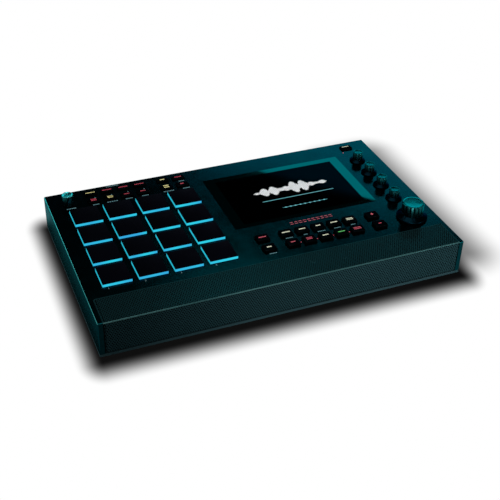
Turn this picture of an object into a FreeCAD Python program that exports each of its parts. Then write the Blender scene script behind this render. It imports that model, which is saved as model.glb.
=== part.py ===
import FreeCAD, Part
import os
import re
import Sketcher

# Drum machine: a flat desk unit with sixteen pads, a touch display, a row of small
# knobs, one large dial and a perforated speaker grille folded over its front edge.
# X runs left to right, Y front to back, Z up. The origin is the middle of the footprint,
# at the height of the surface that the feet stand on. Every size is in millimetres.
# A size written as a formula fits between others, with a named clearance.

SIZES = [
    ("case_width", 409, "across the case"),
    ("case_depth", 243, "front to back of the case"),
    ("case_height", 41.5, "underside of the base to the top panel"),
    ("foot_height", 5, "how far the feet hold the base up"),
    ("wall", 3, "side and rear walls"),
    ("panel_thick", 3, "top panel"),
    ("base_thick", 3, "base tray"),
    ("edge_round", 1.5, "rounded outer edges of the case"),
    ("cheek", 5.5, "solid end beside the grille"),
    ("ledge", 4, "width of the ledges that the grille lies on"),
    ("strip_depth", 39.5, "how far the grille reaches back over the top"),
    ("grille_thick", 1.2, "perforated sheet"),
    ("fold_round", 2, "outer radius of the grille's fold"),
    ("pad_left", 20, "case side to the first pad"),
    ("pad_front", 55, "case front to the first pad"),
    ("pad_space", 7.3, "clear space between two pads"),
    ("pad_clear", 9.35, "pads to the buttons behind them"),
    ("pad_pitch", "=(mode_row - mode_depth / 2 - pad_clear - pad_front + pad_space) / 4", "pad to pad"),
    ("pad_size", "=pad_pitch - pad_space", "side of a pad"),
    ("pads_right", "=pad_left + 3 * pad_pitch + pad_size", "case side to the far side of the last pad"),
    ("pad_rise", 3, "pad above the panel"),
    ("pad_travel", 1, "how far a pad goes down"),
    ("key_gap", 0.3, "clearance round a pad or button in its hole"),
    ("under_gap", 0.3, "flange to the panel's underside"),
    ("flange_lip", 1.2, "how far a flange stands out round its cap"),
    ("flange_thick", 1.2, "flange that stops a cap from falling out"),
    ("stem_radius", 2.5, "stem that works the switch"),
    ("stem_gap", 0.3, "stem to the board at full travel"),
    ("key_round", 0.6, "rounded top edges of the buttons and pads"),
    ("key_space", 4.9, "clear space between two buttons"),
    ("key_width", "=key_pitch - key_space", "button of the rear rows, across"),
    ("key_depth", 11.5, "button, front to back"),
    ("key_rise", 3, "button above the panel"),
    ("key_travel", 1.2, "how far a button goes down"),
    ("key_pitch", "=(pads_right - edit_end - group_space - bank_left + key_space / 2) / 5.5",
     "button to button in the rear rows"),
    ("group_space", 9, "extra space between the two rear groups"),
    ("bank_depth", 6.5, "slim button of the rear row, front to back"),
    ("mode_depth", 8.5, "button of the row in front of it"),
    ("upper_rise", 2, "rear buttons above the panel"),
    ("bank_left", 51.6, "case side to the first rear button's middle"),
    ("edit_left", "=bank_left + 4 * key_pitch + group_space", "case side to the right rear group's first button"),
    ("edit_end", 1.05, "last rear button to the pads' far side"),
    ("bank_row", "=case_depth - bank_back", "case front to the rear row"),
    ("bank_back", 12.5, "case rear to the rear row"),
    ("mode_row", "=case_depth - mode_back", "case front to the row before it"),
    ("mode_back", 28.5, "case rear to the row before it"),
    ("shift_left", "=pads_right + shift_space", "case side to the single column beside the pads"),
    ("shift_space", 37.3, "pads to that column's middle"),
    ("transport_left", "=shift_left + transport_space", "case side to the first transport button"),
    ("transport_space", 27.8, "single column to the first transport button"),
    ("transport_pitch", "=(plus_left - plus_space - transport_left) / 5", "transport button to button"),
    ("transport_width", "=transport_pitch - key_space", "transport button, across"),
    ("plus_left", "=case_width - plus_side", "case side to the plus and minus buttons"),
    ("plus_side", 72.3, "far case side to the plus and minus buttons"),
    ("plus_space", 8.7, "extra space before the plus and minus buttons"),
    ("function_row", 78.7, "case front to the function buttons"),
    ("transport_row", 59.3, "case front to the transport buttons"),
    ("select_row", "=case_depth - select_back", "case front to the button behind the knobs"),
    ("select_back", 15, "case rear to the button behind the knobs"),
    ("knob_left", "=case_width - knob_side", "case side to the column of knobs"),
    ("knob_side", 30, "far case side to the column of knobs"),
    ("knob_front", 104.3, "case front to the first small knob"),
    ("knob_pitch", "=(select_row - knob_clear - knob_front) / 3", "small knob to small knob"),
    ("knob_clear", 31.9, "last small knob to the button behind it"),
    ("knob_radius", 6, "cap of a small knob"),
    ("knob_skirt", 9.6, "radius of a small knob's skirt"),
    ("skirt_thick", 1.6, "skirt of a small knob at its edge"),
    ("knob_height", 12.5, "top of a small knob above the panel"),
    ("knob_float", 0.5, "small knob's skirt above the panel"),
    ("volume_left", 22.5, "case side to the volume knob"),
    ("volume_front", "=case_depth - volume_back", "case front to the volume knob"),
    ("volume_back", 26.5, "case rear to the volume knob"),
    ("volume_radius", 6.2, "volume knob"),
    ("volume_height", 14, "top of the volume knob above the panel"),
    ("dial_front", 62.5, "case front to the large dial"),
    ("dial_radius", 12.3, "cap of the large dial"),
    ("dial_skirt", 17.5, "radius of the large dial's skirt"),
    ("dial_skirt_thick", 3, "skirt of the large dial"),
    ("dial_height", 19, "top of the large dial above the panel"),
    ("dial_float", 1, "large dial above the panel"),
    ("dial_dish", 1, "depth of the dished top"),
    ("dial_roof", 2.5, "solid top over the dial's bore"),
    ("dial_travel", 0.5, "how far the large dial can be pressed"),
    ("top_round", 0.8, "rounded top edge of the knobs"),
    ("shaft_radius", 3, "encoder shafts"),
    ("shaft_gap", 0.3, "clearance of a shaft in the panel"),
    ("run_gap", 0.05, "running clearance of a shaft in its bore"),
    ("end_gap", 0.3, "clearance at a shaft's end"),
    ("flute_radius", 0.9, "grip flutes"),
    ("flute_count", 18, "grip flutes round a knob"),
    ("encoder_size", 12, "side of an encoder's body"),
    ("encoder_gap", 0.5, "encoder's body to the panel"),
    ("encoder_bore", 5, "depth of the bore in an encoder's body"),
    ("glass_left", "=pads_right + glass_space", "case side to the display glass"),
    ("glass_space", 17.1, "pads to the display glass"),
    ("glass_front", 106, "case front to the display glass"),
    ("glass_width", "=case_width - glass_side - glass_left", "display glass, across"),
    ("glass_side", 52, "far case side to the display glass"),
    ("glass_depth", "=case_depth - glass_back - glass_front", "display glass, front to back"),
    ("glass_back", 30, "case rear to the display glass"),
    ("glass_thick", 2, "display glass"),
    ("glass_proud", 0.5, "display glass above the panel"),
    ("glass_gap", 0.2, "clearance round the glass"),
    ("module_width", "=glass_width - 2 * module_side", "panel under the glass, across"),
    ("module_side", 7, "glass beyond that panel at each side"),
    ("module_depth", "=glass_depth - 2 * module_end", "panel under the glass, front to back"),
    ("module_end", 4, "glass beyond that panel at front and rear"),
    ("module_thick", 4.5, "panel under the glass"),
    ("board_drop", 7.5, "panel's underside to the control board"),
    ("board_thick", 1.6, "circuit boards"),
    ("board_inset", 3.5, "circuit board to the walls"),
    ("post_radius", 2.5, "posts that carry the control board"),
    ("post_front", 9, "grille to the first row of posts"),
    ("post_pitch", "=(case_depth - strip_depth - post_front - post_back) / 2", "row of posts to row of posts"),
    ("post_back", 36.5, "case rear to the last row of posts"),
    ("boss_radius", 3.5, "screw bosses of the top case"),
    ("boss_gap", 0.5, "clearance of the boards round a boss"),
    ("boss_front", 70, "case front to the first row of bosses"),
    ("boss_rear", "=case_depth - boss_back", "case front to the second row of bosses"),
    ("boss_back", 12, "case rear to the second row of bosses"),
    ("post_margin", 8, "pads and display to the posts beside them"),
    ("screw_radius", 1.5, "case screw's shank"),
    ("screw_reach", 10, "case screw into its boss"),
    ("screw_head", 3, "radius of a case screw's head"),
    ("head_thick", 1.8, "case screw's head"),
    ("head_depth", 2, "counterbore of a case screw"),
    ("head_gap", 0.3, "clearance round a case screw's head"),
    ("main_left", 30, "case side to the main board"),
    ("main_width", "=case_width - 2 * main_left", "main board, across"),
    ("main_front", "=case_depth - wall - board_inset - main_depth", "case front to the main board"),
    ("main_depth", 86.5, "main board, front to back"),
    ("main_lift", 4, "main board above the base"),
    ("stud_radius", 3, "studs that carry the main board"),
    ("stud_inset", 6, "main board's edge to its studs"),
    ("jack_left", 60, "case side to the first jack socket"),
    ("jack_pitch", 32, "jack socket to jack socket"),
    ("jack_bore", 3.25, "radius of a jack socket's bore"),
    ("jack_bore_length", 22, "depth of a jack socket's bore"),
    ("jack_bush", 5, "radius of a jack socket's bush"),
    ("jack_reach", 3.5, "bush behind the rear wall"),
    ("jack_nut", 7.2, "radius of a jack socket's round nut"),
    ("nut_thick", 2, "nut of a jack socket"),
    ("jack_box", 16, "jack socket's body, across"),
    ("jack_tall", 14, "jack socket's body, height"),
    ("jack_deep", 24, "jack socket's body, front to back"),
    ("din_left", "=pads_right + post_margin + din_clear", "case side to the first round data socket"),
    ("din_clear", 18.1, "boss to the first round data socket"),
    ("din_pitch", 26, "round data socket to the next"),
    ("din_radius", "=din_box / 2 - din_rim", "round data socket's face"),
    ("din_rim", 1.5, "round data socket's body beyond its face"),
    ("din_box", "=case_height - panel_thick - board_drop - base_thick - main_lift - 2 * board_thick - din_head",
     "round data socket's body, across and up"),
    ("din_head", 2.8, "round data socket to the control board"),
    ("din_deep", 14, "round data socket's body, front to back"),
    ("contact_radius", 0.75, "contact holes of a round data socket"),
    ("contact_ring", 3.6, "radius on which the contact holes lie"),
    ("contact_depth", 8, "depth of a contact hole"),
    ("usb_left", "=din_left + din_pitch + usb_space", "case side to the square data socket"),
    ("usb_space", 22, "round data socket to the square one"),
    ("usb_width", 12.2, "square data socket, across"),
    ("usb_tall", 11, "square data socket, height"),
    ("usb_deep", 16, "square data socket, front to back"),
    ("usb_mouth_width", 8.4, "its mouth, across"),
    ("usb_mouth_tall", 7.8, "its mouth, height"),
    ("usb_mouth_depth", 9, "its mouth, front to back"),
    ("tongue_width", 5.6, "tongue in the mouth, across"),
    ("tongue_tall", 3.2, "tongue in the mouth, height"),
    ("inlet_left", "=case_width - inlet_side", "case side to the power inlet"),
    ("inlet_side", 37, "far case side to the power inlet"),
    ("inlet_box", 10, "power inlet's body, across"),
    ("inlet_tall", 11, "power inlet's body, height"),
    ("inlet_deep", 14, "power inlet's body, front to back"),
    ("inlet_face", 4.5, "radius of the power inlet's face"),
    ("inlet_bore", 2.75, "radius of the power inlet's bore"),
    ("inlet_pin", 1, "radius of the pin in the power inlet"),
    ("inlet_bore_depth", 9.5, "depth of the power inlet's bore"),
    ("socket_gap", 0.2, "clearance of a socket in the rear wall"),
    ("face_proud", 0.5, "flat sockets behind the rear wall"),
    ("power_left", "=case_width - power_side", "case side to the power button"),
    ("power_side", 64, "far case side to the power button"),
    ("power_radius", 6, "power button"),
    ("power_reach", 2.5, "power button behind the rear wall"),
    ("power_travel", 1.5, "how far the power button goes in"),
    ("power_box", 14, "power switch's body"),
    ("speaker_left", 84, "case side to each speaker's middle"),
    ("speaker_width", 62, "speaker's flange, across"),
    ("speaker_tall", "=case_height - base_thick - grille_thick - speaker_head", "speaker's flange, height"),
    ("speaker_head", 3.3, "speaker to the grille's top strip"),
    ("speaker_flange", 3, "thickness of a speaker's flange"),
    ("speaker_radius", 14, "speaker's basket"),
    ("basket_depth", 9, "speaker's basket, front to back"),
    ("magnet_radius", 9, "speaker's magnet"),
    ("magnet_depth", 8, "speaker's magnet, front to back"),
    ("speaker_gap", 0.3, "speaker's flange to the grille"),
    ("foot_radius", 11, "foot, where it stands"),
    ("foot_flare", 1, "how much wider a foot is at the base"),
    ("foot_inset", 24, "case edges to each foot's middle"),
]

# Places that several pieces share, as expressions of the sizes.
REACH = "jack_reach"
LEFT = "(-case_width / 2)"
FRONT = f"(-(case_depth + {REACH}) / 2)"
REAR = f"({FRONT} + case_depth)"
SPLIT = "(foot_height + base_thick)"
PANEL = "(foot_height + case_height)"
UNDER = f"({PANEL} - panel_thick)"
BOARD = f"({UNDER} - board_drop)"
MAIN = f"({SPLIT} + main_lift + board_thick)"
JACK_AXIS = f"({MAIN} + jack_tall / 2)"
DIN_AXIS = f"({MAIN} + din_box / 2)"
USB_AXIS = f"({MAIN} + usb_tall / 2)"
INLET_AXIS = f"({MAIN} + inlet_tall / 2)"
POST_COLUMNS = ["(pad_left - post_margin)", "(pads_right + post_margin)",
                "(glass_left + glass_width + post_radius * 2)", "(case_width - pad_left + post_margin)"]
POST_ROWS = [f"(strip_depth + post_front + {row} * post_pitch)" for row in range(3)]
BOSS_COLUMNS = [POST_COLUMNS[0], POST_COLUMNS[1], POST_COLUMNS[3]]
BOSS_ROWS = ["boss_front", "boss_rear"]
JACKS = [f"(jack_left + {i} * jack_pitch)" for i in range(3)]
DINS = [f"(din_left + {i} * din_pitch)" for i in range(2)]
SPEAKERS = ["speaker_left", "(case_width - speaker_left)"]

doc = FreeCAD.newDocument("drum_machine")
sheet = doc.addObject("Spreadsheet::Sheet", "Sizes")
ALIASES = {alias for alias, value, note in SIZES}
nodes = []


def fill_sheet():
    """Write each driving size to the sheet, with its alias and its note."""
    for row, (alias, value, note) in enumerate(SIZES, start=1):
        sheet.set(f"A{row}", alias)
        sheet.set(f"C{row}", note)
        sheet.setAlias(f"B{row}", alias)
    for row, (alias, value, note) in enumerate(SIZES, start=1):
        sheet.set(f"B{row}", str(value))
    doc.recompute()


def linked(text):
    """The expression with each size's name pointing at its cell."""
    return re.sub(r"[a-z_]{3,}", lambda word: "Sizes." + word.group(0) if word.group(0) in ALIASES
                  else word.group(0), text)


def bind(item, **sizes):
    """Bind each named property of the item to an expression."""
    for name, text in sizes.items():
        item.setExpression(name, linked(text))


def place(item, x, y, z, turn=None):
    """Put the item's own origin at x, y, z, which are expressions."""
    if turn:
        item.Placement = FreeCAD.Placement(FreeCAD.Vector(), turn)
    for axis, text in (("x", x), ("y", y), ("z", z)):
        item.setExpression(f"Placement.Base.{axis}", linked(text))
    return item


TO_REAR = FreeCAD.Rotation(FreeCAD.Vector(1, 0, 0), -90)
TO_FRONT = FreeCAD.Rotation(FreeCAD.Vector(1, 0, 0), 90)


def box(name, x, y, z, length, width, height):
    """A block with its low corner at x, y, z."""
    item = doc.addObject("Part::Box", name)
    bind(item, Length=length, Width=width, Height=height)
    return place(item, x, y, z)


def middle_box(name, x, y, z, length, width, height):
    """A block whose middle lies at x and y, with its underside at z."""
    return box(name, f"{x} - ({length}) / 2", f"{y} - ({width}) / 2", z, length, width, height)


def rod(name, x, y, z, radius, height, turn=None):
    """A cylinder that starts at x, y, z and runs up, or along Y when turned."""
    item = doc.addObject("Part::Cylinder", name)
    bind(item, Radius=radius, Height=height)
    return place(item, x, y, z, turn)


def group(kind, name, items):
    """Several objects as one: a fusion or a compound of separate solids."""
    item = doc.addObject(kind, name)
    if kind == "Part::Compound":
        item.Links = items
    else:
        item.Shapes = items
    return item


def fuse(name, items):
    return group("Part::MultiFuse", name, items)


def compound(name, items):
    return group("Part::Compound", name, items)


def cut(name, base, tools):
    """The base with every tool taken away."""
    item = doc.addObject("Part::Cut", name)
    item.Base = base
    item.Tool = compound(name + "_tools", tools) if len(tools) > 1 else tools[0]
    return item


def node(item, label):
    """Name a finished piece and keep it for export."""
    item.Label = label
    nodes.append(item)
    return item


def new_sketch(body, name, role, height):
    """A sketch on one of the body's own origin planes, raised by height."""
    sketch = body.newObject("Sketcher::SketchObject", name)
    plane = [item for item in body.Origin.OriginFeatures if item.Role == role][0]
    sketch.AttachmentSupport = [(plane, "")]
    sketch.MapMode = "FlatFace"
    sketch.setExpression("AttachmentOffset.Base.z", linked(height))
    return sketch


def add_size(sketch, name, constraint, text):
    """Add a named constraint whose value is an expression."""
    index = sketch.addConstraint(constraint)
    sketch.renameConstraint(index, name)
    sketch.setExpression(f"Constraints.{name}", linked(text))


def closed_loop(sketch, corners):
    """Straight lines through the corners, joined end to end."""
    count = len(corners)
    for i in range(count):
        start = FreeCAD.Vector(*corners[i], 0)
        end = FreeCAD.Vector(*corners[(i + 1) % count], 0)
        sketch.addGeometry(Part.LineSegment(start, end))
    for i in range(count):
        sketch.addConstraint(Sketcher.Constraint("Coincident", i, 2, (i + 1) % count, 1))


def rectangle(body, name, height, width, depth):
    """A rectangle round the body's own axis."""
    sketch = new_sketch(body, name, "XY_Plane", height)
    closed_loop(sketch, [(-10, -5), (10, -5), (10, 5), (-10, 5)])
    for line in (0, 2):
        sketch.addConstraint(Sketcher.Constraint("Horizontal", line))
    for line in (1, 3):
        sketch.addConstraint(Sketcher.Constraint("Vertical", line))
    sketch.addConstraint(Sketcher.Constraint("Symmetric", 0, 1, 2, 1, -1, 1))
    add_size(sketch, "width", Sketcher.Constraint("DistanceX", 0, 1, 0, 2, 20.0), width)
    add_size(sketch, "depth", Sketcher.Constraint("DistanceY", 1, 1, 1, 2, 10.0), depth)
    return sketch


def circle(body, name, height, radius, away="0"):
    """A circle on the body's X axis, away from its Z axis."""
    sketch = new_sketch(body, name, "XY_Plane", height)
    sketch.addGeometry(Part.Circle(FreeCAD.Vector(1, 0, 0), FreeCAD.Vector(0, 0, 1), 2))
    add_size(sketch, "radius", Sketcher.Constraint("Radius", 0, 2.0), radius)
    if away == "0":
        sketch.addConstraint(Sketcher.Constraint("Coincident", 0, 3, -1, 1))
    else:
        sketch.addConstraint(Sketcher.Constraint("PointOnObject", 0, 3, -1))
        add_size(sketch, "away", Sketcher.Constraint("DistanceX", -1, 1, 0, 3, 1.0), away)
    return sketch


def outline(body, name, role, points, height="0"):
    """A closed outline through points, each an expression pair, none below zero."""
    sketch = new_sketch(body, name, role, height)
    closed_loop(sketch, [(10 + 3 * i, 5 + i * i) for i in range(len(points))])
    for i, (across, up) in enumerate(points):
        for kind, axis, text in (("DistanceX", -2, across), ("DistanceY", -1, up)):
            if text == "0":
                sketch.addConstraint(Sketcher.Constraint("PointOnObject", i, 1, axis))
            else:
                constraint = Sketcher.Constraint(kind, -1, 1, i, 1, 1.0 + i)
                add_size(sketch, f"{kind[-1].lower()}{i}_size", constraint, text)
    return sketch


def pad_up(body, sketch, length):
    """Raise a solid from the sketch."""
    item = body.newObject("PartDesign::Pad", sketch.Name + "_pad")
    item.Profile = sketch
    bind(item, Length=length)
    doc.recompute([item])
    return item


def round_off(body, base, names, radius):
    """Round the named faces or edges of the body's last feature."""
    item = body.newObject("PartDesign::Fillet", body.Name + "_round")
    item.Base = (base, names)
    bind(item, Radius=radius)
    doc.recompute([item])
    return item


def top_face(shape):
    """Name of the highest flat face."""
    heights = [face.CenterOfMass.z for face in shape.Faces]
    return f"Face{heights.index(max(heights)) + 1}"


def upright_edges(shape):
    """Names of the straight edges that stand upright."""
    names = []
    for i, edge in enumerate(shape.Edges, start=1):
        run = edge.Vertexes[-1].Point - edge.Vertexes[0].Point
        if abs(run.z) > 0.99 * run.Length:
            names.append(f"Edge{i}")
    return names


def case_block(name, thick, low, top):
    """The case's footprint with rounded corners, and a rounded top edge if asked."""
    body = doc.addObject("PartDesign::Body", name)
    base = pad_up(body, rectangle(body, name + "_plan", "0", "case_width", "case_depth"), thick)
    names = upright_edges(base.Shape)
    if top:
        names.append(top_face(base.Shape))
    round_off(body, base, names, "edge_round")
    return place(body, "0", f"{FRONT} + case_depth / 2", low)


def cap_key(label, x, y, width, depth, rise, travel):
    """A pad or button: cap, flange under the panel, and stem above its switch."""
    low = "flange_thick + under_gap + panel_thick"
    body = doc.addObject("PartDesign::Body", label + "_body")
    sketch = rectangle(body, label + "_cap", "0", width, depth)
    cap = pad_up(body, sketch, f"{low} + {rise}")
    round_off(body, cap, [top_face(cap.Shape)], "key_round")
    flange = rectangle(body, label + "_flange", "0", f"{width} + 2 * flange_lip",
                       f"{depth} + 2 * flange_lip")
    pad_up(body, flange, "flange_thick")
    stem_length = f"board_drop - under_gap - flange_thick - {travel} - stem_gap"
    stem = circle(body, label + "_stem", f"-({stem_length})", "stem_radius")
    pad_up(body, stem, stem_length)
    place(body, f"{LEFT} + {x}", f"{FRONT} + {y}", f"{PANEL} - ({low})")
    return node(body, label)


def key_hole(name, x, y, width, depth):
    """The hole of a pad or button through the top panel."""
    return middle_box(name, f"{LEFT} + {x}", f"{FRONT} + {y}", UNDER, f"{width} + 2 * key_gap",
                      f"{depth} + 2 * key_gap", "panel_thick")


def turned_knob(label, x, y, outline_points, low, top, radius, grip):
    """A revolved knob with grip flutes round its cap."""
    body = doc.addObject("PartDesign::Body", label + "_body")
    sketch = outline(body, label + "_half", "XZ_Plane", outline_points)
    turned = body.newObject("PartDesign::Revolution", label + "_turned")
    turned.Profile = sketch
    turned.ReferenceAxis = (sketch, ["V_Axis"])
    turned.Angle = 360
    doc.recompute([turned])
    edge = [f"Edge{i}" for i, item in enumerate(turned.Shape.Edges, start=1) if is_rim(item, turned.Shape)]
    round_off(body, turned, edge, "top_round")
    flute = circle(body, label + "_flute", top, "flute_radius", f"{radius} + flute_radius / 2")
    groove = body.newObject("PartDesign::Pocket", label + "_groove")
    groove.Profile = flute
    bind(groove, Length=grip)
    doc.recompute([groove])
    pattern = body.newObject("PartDesign::PolarPattern", label + "_flutes")
    pattern.Originals = [groove]
    axis = [item for item in body.Origin.OriginFeatures if item.Role == "Z_Axis"][0]
    pattern.Axis = (axis, [""])
    pattern.Angle = 360
    bind(pattern, Occurrences="flute_count")
    body.Tip = pattern
    place(body, f"{LEFT} + {x}", f"{FRONT} + {y}", low)
    return node(body, label)


def is_rim(edge, shape):
    """Whether the edge is the outer circle of the knob's top."""
    if edge.Curve.TypeId != "Part::GeomCircle":
        return False
    top = shape.BoundBox.ZMax - 0.001
    widest = max(item.Curve.Radius for item in shape.Edges
                 if item.Curve.TypeId == "Part::GeomCircle" and item.Curve.Center.z > top)
    return edge.Curve.Center.z > top and edge.Curve.Radius > widest - 0.001


def small_knob(label, x, y, cap, skirt, height):
    """A knob in one piece with the shaft that turns in its encoder."""
    deep = "(panel_thick + encoder_gap + encoder_bore - end_gap)"
    points = [("0", "0"), ("shaft_radius", "0"), ("shaft_radius", f"{deep} + knob_float")]
    if skirt:
        points += [(skirt, f"{deep} + knob_float"), (skirt, f"{deep} + knob_float + skirt_thick / 2"),
                   (f"{cap} + skirt_thick", f"{deep} + knob_float + skirt_thick"),
                   (cap, f"{deep} + knob_float + skirt_thick * 2")]
    else:
        points += [(cap, f"{deep} + knob_float")]
    points += [(cap, f"{deep} + {height}"), ("0", f"{deep} + {height}")]
    grip = f"{height} - knob_float - skirt_thick * 3"
    turned_knob(label, x, y, points, f"{PANEL} - {deep}", f"{deep} + {height}", cap, grip)


def knob_front(index):
    """How far the small knob lies behind the case's front, first knob at the front."""
    return f"(knob_front + {index} * knob_pitch)"


def large_dial():
    """The dial's cap and skirt, and the shaft that it turns on and is pressed with."""
    points = [("shaft_radius + run_gap", "0"), ("dial_skirt", "0"), ("dial_skirt", "dial_skirt_thick / 2"),
              ("dial_radius + dial_skirt_thick / 2", "dial_skirt_thick"),
              ("dial_radius", "dial_skirt_thick * 1.5"), ("dial_radius", "dial_height - dial_float"),
              ("dial_radius - dial_dish * 2", "dial_height - dial_float"),
              ("dial_radius - dial_dish * 4", "dial_height - dial_float - dial_dish"),
              ("0", "dial_height - dial_float - dial_dish"),
              ("0", "dial_height - dial_float - dial_dish - dial_roof"),
              ("shaft_radius + run_gap", "dial_height - dial_float - dial_dish - dial_roof")]
    turned_knob("data_dial", "knob_left", "dial_front", points, f"{PANEL} + dial_float",
                "dial_height - dial_float", "dial_radius", "dial_height - dial_float - dial_skirt_thick * 2")
    low = f"({UNDER} - encoder_gap - encoder_bore + end_gap + dial_travel)"
    high = f"({PANEL} + dial_height - dial_dish - dial_roof - end_gap)"
    shaft = rod("dial_shaft_rod", f"{LEFT} + knob_left", f"{FRONT} + dial_front", low, "shaft_radius",
                f"{high} - {low}")
    node(shaft, "dial_shaft")


def key_table():
    """Every pad and button: label, place, width, depth, rise and travel."""
    keys = []
    for index in range(16):
        x = f"(pad_left + pad_size / 2 + {index % 4} * pad_pitch)"
        y = f"(pad_front + pad_size / 2 + {index // 4} * pad_pitch)"
        keys.append((f"pad_{index + 1}", x, y, "pad_size", "pad_size", "pad_rise", "pad_travel"))
    rear = ("upper_rise", "key_travel")
    for index in range(4):
        x = f"(bank_left + {index} * key_pitch)"
        keys.append((f"bank_button_{index + 1}", x, "bank_row", "key_width", "bank_depth") + rear)
        keys.append((f"mode_button_{index + 1}", x, "mode_row", "key_width", "mode_depth") + rear)
        x = f"(edit_left + {index % 2} * key_pitch)"
        y, depth = (("bank_row", "bank_depth"), ("mode_row", "mode_depth"))[index // 2]
        keys.append((f"edit_button_{index + 1}", x, y, "key_width", depth) + rear)
    usual = ("transport_width", "key_depth", "key_rise", "key_travel")
    transport = ("record", "overdub", "stop", "play", "restart")
    for index, name in enumerate(transport):
        x = f"(transport_left + {index} * transport_pitch)"
        keys.append((f"function_button_{index + 1}", x, "function_row") + usual)
        keys.append((f"{name}_button", x, "transport_row") + usual)
    keys.append(("shift_button", "shift_left", "function_row") + usual)
    keys.append(("tap_button", "shift_left", "transport_row") + usual)
    keys.append(("plus_button", "plus_left", "function_row") + usual)
    keys.append(("minus_button", "plus_left", "transport_row") + usual)
    keys.append(("select_button", "knob_left", "select_row", "key_width", "mode_depth") + rear)
    return keys


def shaft_places():
    """Where each encoder stands, by name."""
    places = [(f"control_{i}", "knob_left", knob_front(i)) for i in range(4)]
    return places + [("volume", "volume_left", "volume_front"), ("dial", "knob_left", "dial_front")]


def column(name, x, y, low, high, radius):
    """An upright cylinder at a place measured from the case's corner."""
    return rod(name, f"{LEFT} + {x}", f"{FRONT} + {y}", low, radius, f"{high} - {low}")


def boss_columns(name, radius, low, high):
    """One upright cylinder at each screw boss."""
    return [column(f"{name}_{i}_{j}", x, y, low, high, radius) for i, x in enumerate(BOSS_COLUMNS)
            for j, y in enumerate(BOSS_ROWS)]


def rear_hole(name, x, z, radius):
    """A round hole through the rear wall."""
    return rod(name, f"{LEFT} + {x}", f"{REAR} - wall", z, radius, "wall", TO_REAR)


def top_case(keys):
    """Panel, side walls and rear wall, with the holes, ledges, posts and bosses."""
    block = case_block("case_outer", f"{PANEL} - {SPLIT}", SPLIT, True)
    room = box("case_room", f"{LEFT} + wall", f"{FRONT} + strip_depth", SPLIT,
               "case_width - 2 * wall", "case_depth - strip_depth - wall", f"{UNDER} - {SPLIT}")
    span = "(case_width - 2 * cheek)"
    bay_width = f"({span} - 2 * ledge)"
    bay = box("grille_bay", f"{LEFT} + cheek + ledge", FRONT, SPLIT, bay_width,
              "strip_depth - ledge", f"{PANEL} - {SPLIT}")
    bay_rear = box("grille_bay_rear", f"{LEFT} + cheek + ledge", FRONT, SPLIT, bay_width,
                   "strip_depth", f"{UNDER} - {SPLIT}")
    seat_top = box("grille_seat_top", f"{LEFT} + cheek", FRONT, f"{PANEL} - grille_thick", span,
                   "strip_depth", "grille_thick")
    seat_front = box("grille_seat_front", f"{LEFT} + cheek", FRONT, SPLIT, span, "grille_thick",
                     f"{PANEL} - {SPLIT}")
    tools = [room, bay, bay_rear, seat_top, seat_front]
    tools += [key_hole(label + "_hole", x, y, width, depth) for label, x, y, width, depth, rise, travel in keys]
    tools += [column(name + "_shaft_hole", x, y, UNDER, PANEL, "shaft_radius + shaft_gap")
              for name, x, y in shaft_places()]
    tools.append(glass_room("glass_seat", "glass_width", "glass_depth",
                            f"{PANEL} + glass_proud - glass_thick", "glass_thick"))
    tools.append(glass_room("module_hole", "module_width", "module_depth", UNDER, "panel_thick"))
    tools += [rear_hole(f"jack_hole_{i}", x, JACK_AXIS, "jack_bush + socket_gap") for i, x in enumerate(JACKS)]
    tools += [rear_hole(f"din_hole_{i}", x, DIN_AXIS, "din_radius + socket_gap") for i, x in enumerate(DINS)]
    tools.append(rear_hole("inlet_hole", "inlet_left", INLET_AXIS, "inlet_face + socket_gap"))
    tools.append(rear_hole("power_hole", "power_left", JACK_AXIS, "power_radius + key_gap"))
    tools.append(box("usb_hole", f"{LEFT} + usb_left - usb_width / 2 - socket_gap", f"{REAR} - wall",
                     f"{MAIN} - socket_gap", "usb_width + 2 * socket_gap", "wall", "usb_tall + 2 * socket_gap"))
    shell = cut("case_shell", block, tools)
    posts = [column(f"post_{i}_{j}", x, y, BOARD, UNDER, "post_radius")
             for i, x in enumerate(POST_COLUMNS) for j, y in enumerate(POST_ROWS)]
    bosses = boss_columns("boss", "boss_radius", SPLIT, UNDER)
    solid = fuse("case_with_posts", [shell] + posts + bosses)
    holes = boss_columns("boss_hole", "screw_radius + run_gap", SPLIT, f"({SPLIT} + screw_reach + end_gap)")
    node(cut("top_case_cut", solid, holes), "top_case")


def glass_room(name, width, depth, low, high):
    """A rectangular opening in the panel round the display, with clearance."""
    return middle_box(name, f"({LEFT} + glass_left + glass_width / 2)", f"({FRONT} + glass_front + glass_depth / 2)",
                      low, f"{width} + 2 * glass_gap", f"{depth} + 2 * glass_gap", high)


def base_tray():
    """Base plate with the main board's studs and the counterbored screw holes."""
    plate = case_block("base_plate", "base_thick", "foot_height", False)
    studs = [column(f"stud_{i}_{j}", x, y, SPLIT, f"({SPLIT} + main_lift)", "stud_radius")
             for i, x in enumerate(["(main_left + stud_inset)", "(main_left + main_width - stud_inset)"])
             for j, y in enumerate(["(main_front + stud_inset)", "(case_depth - wall - board_inset - stud_inset)"])]
    holes = boss_columns("base_hole", "screw_radius + head_gap / 2", "foot_height", SPLIT)
    holes += boss_columns("base_sink", "screw_head + head_gap", "foot_height", "(foot_height + head_depth)")
    node(cut("base_tray_cut", fuse("base_with_studs", [plate] + studs), holes), "base_tray")


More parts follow.
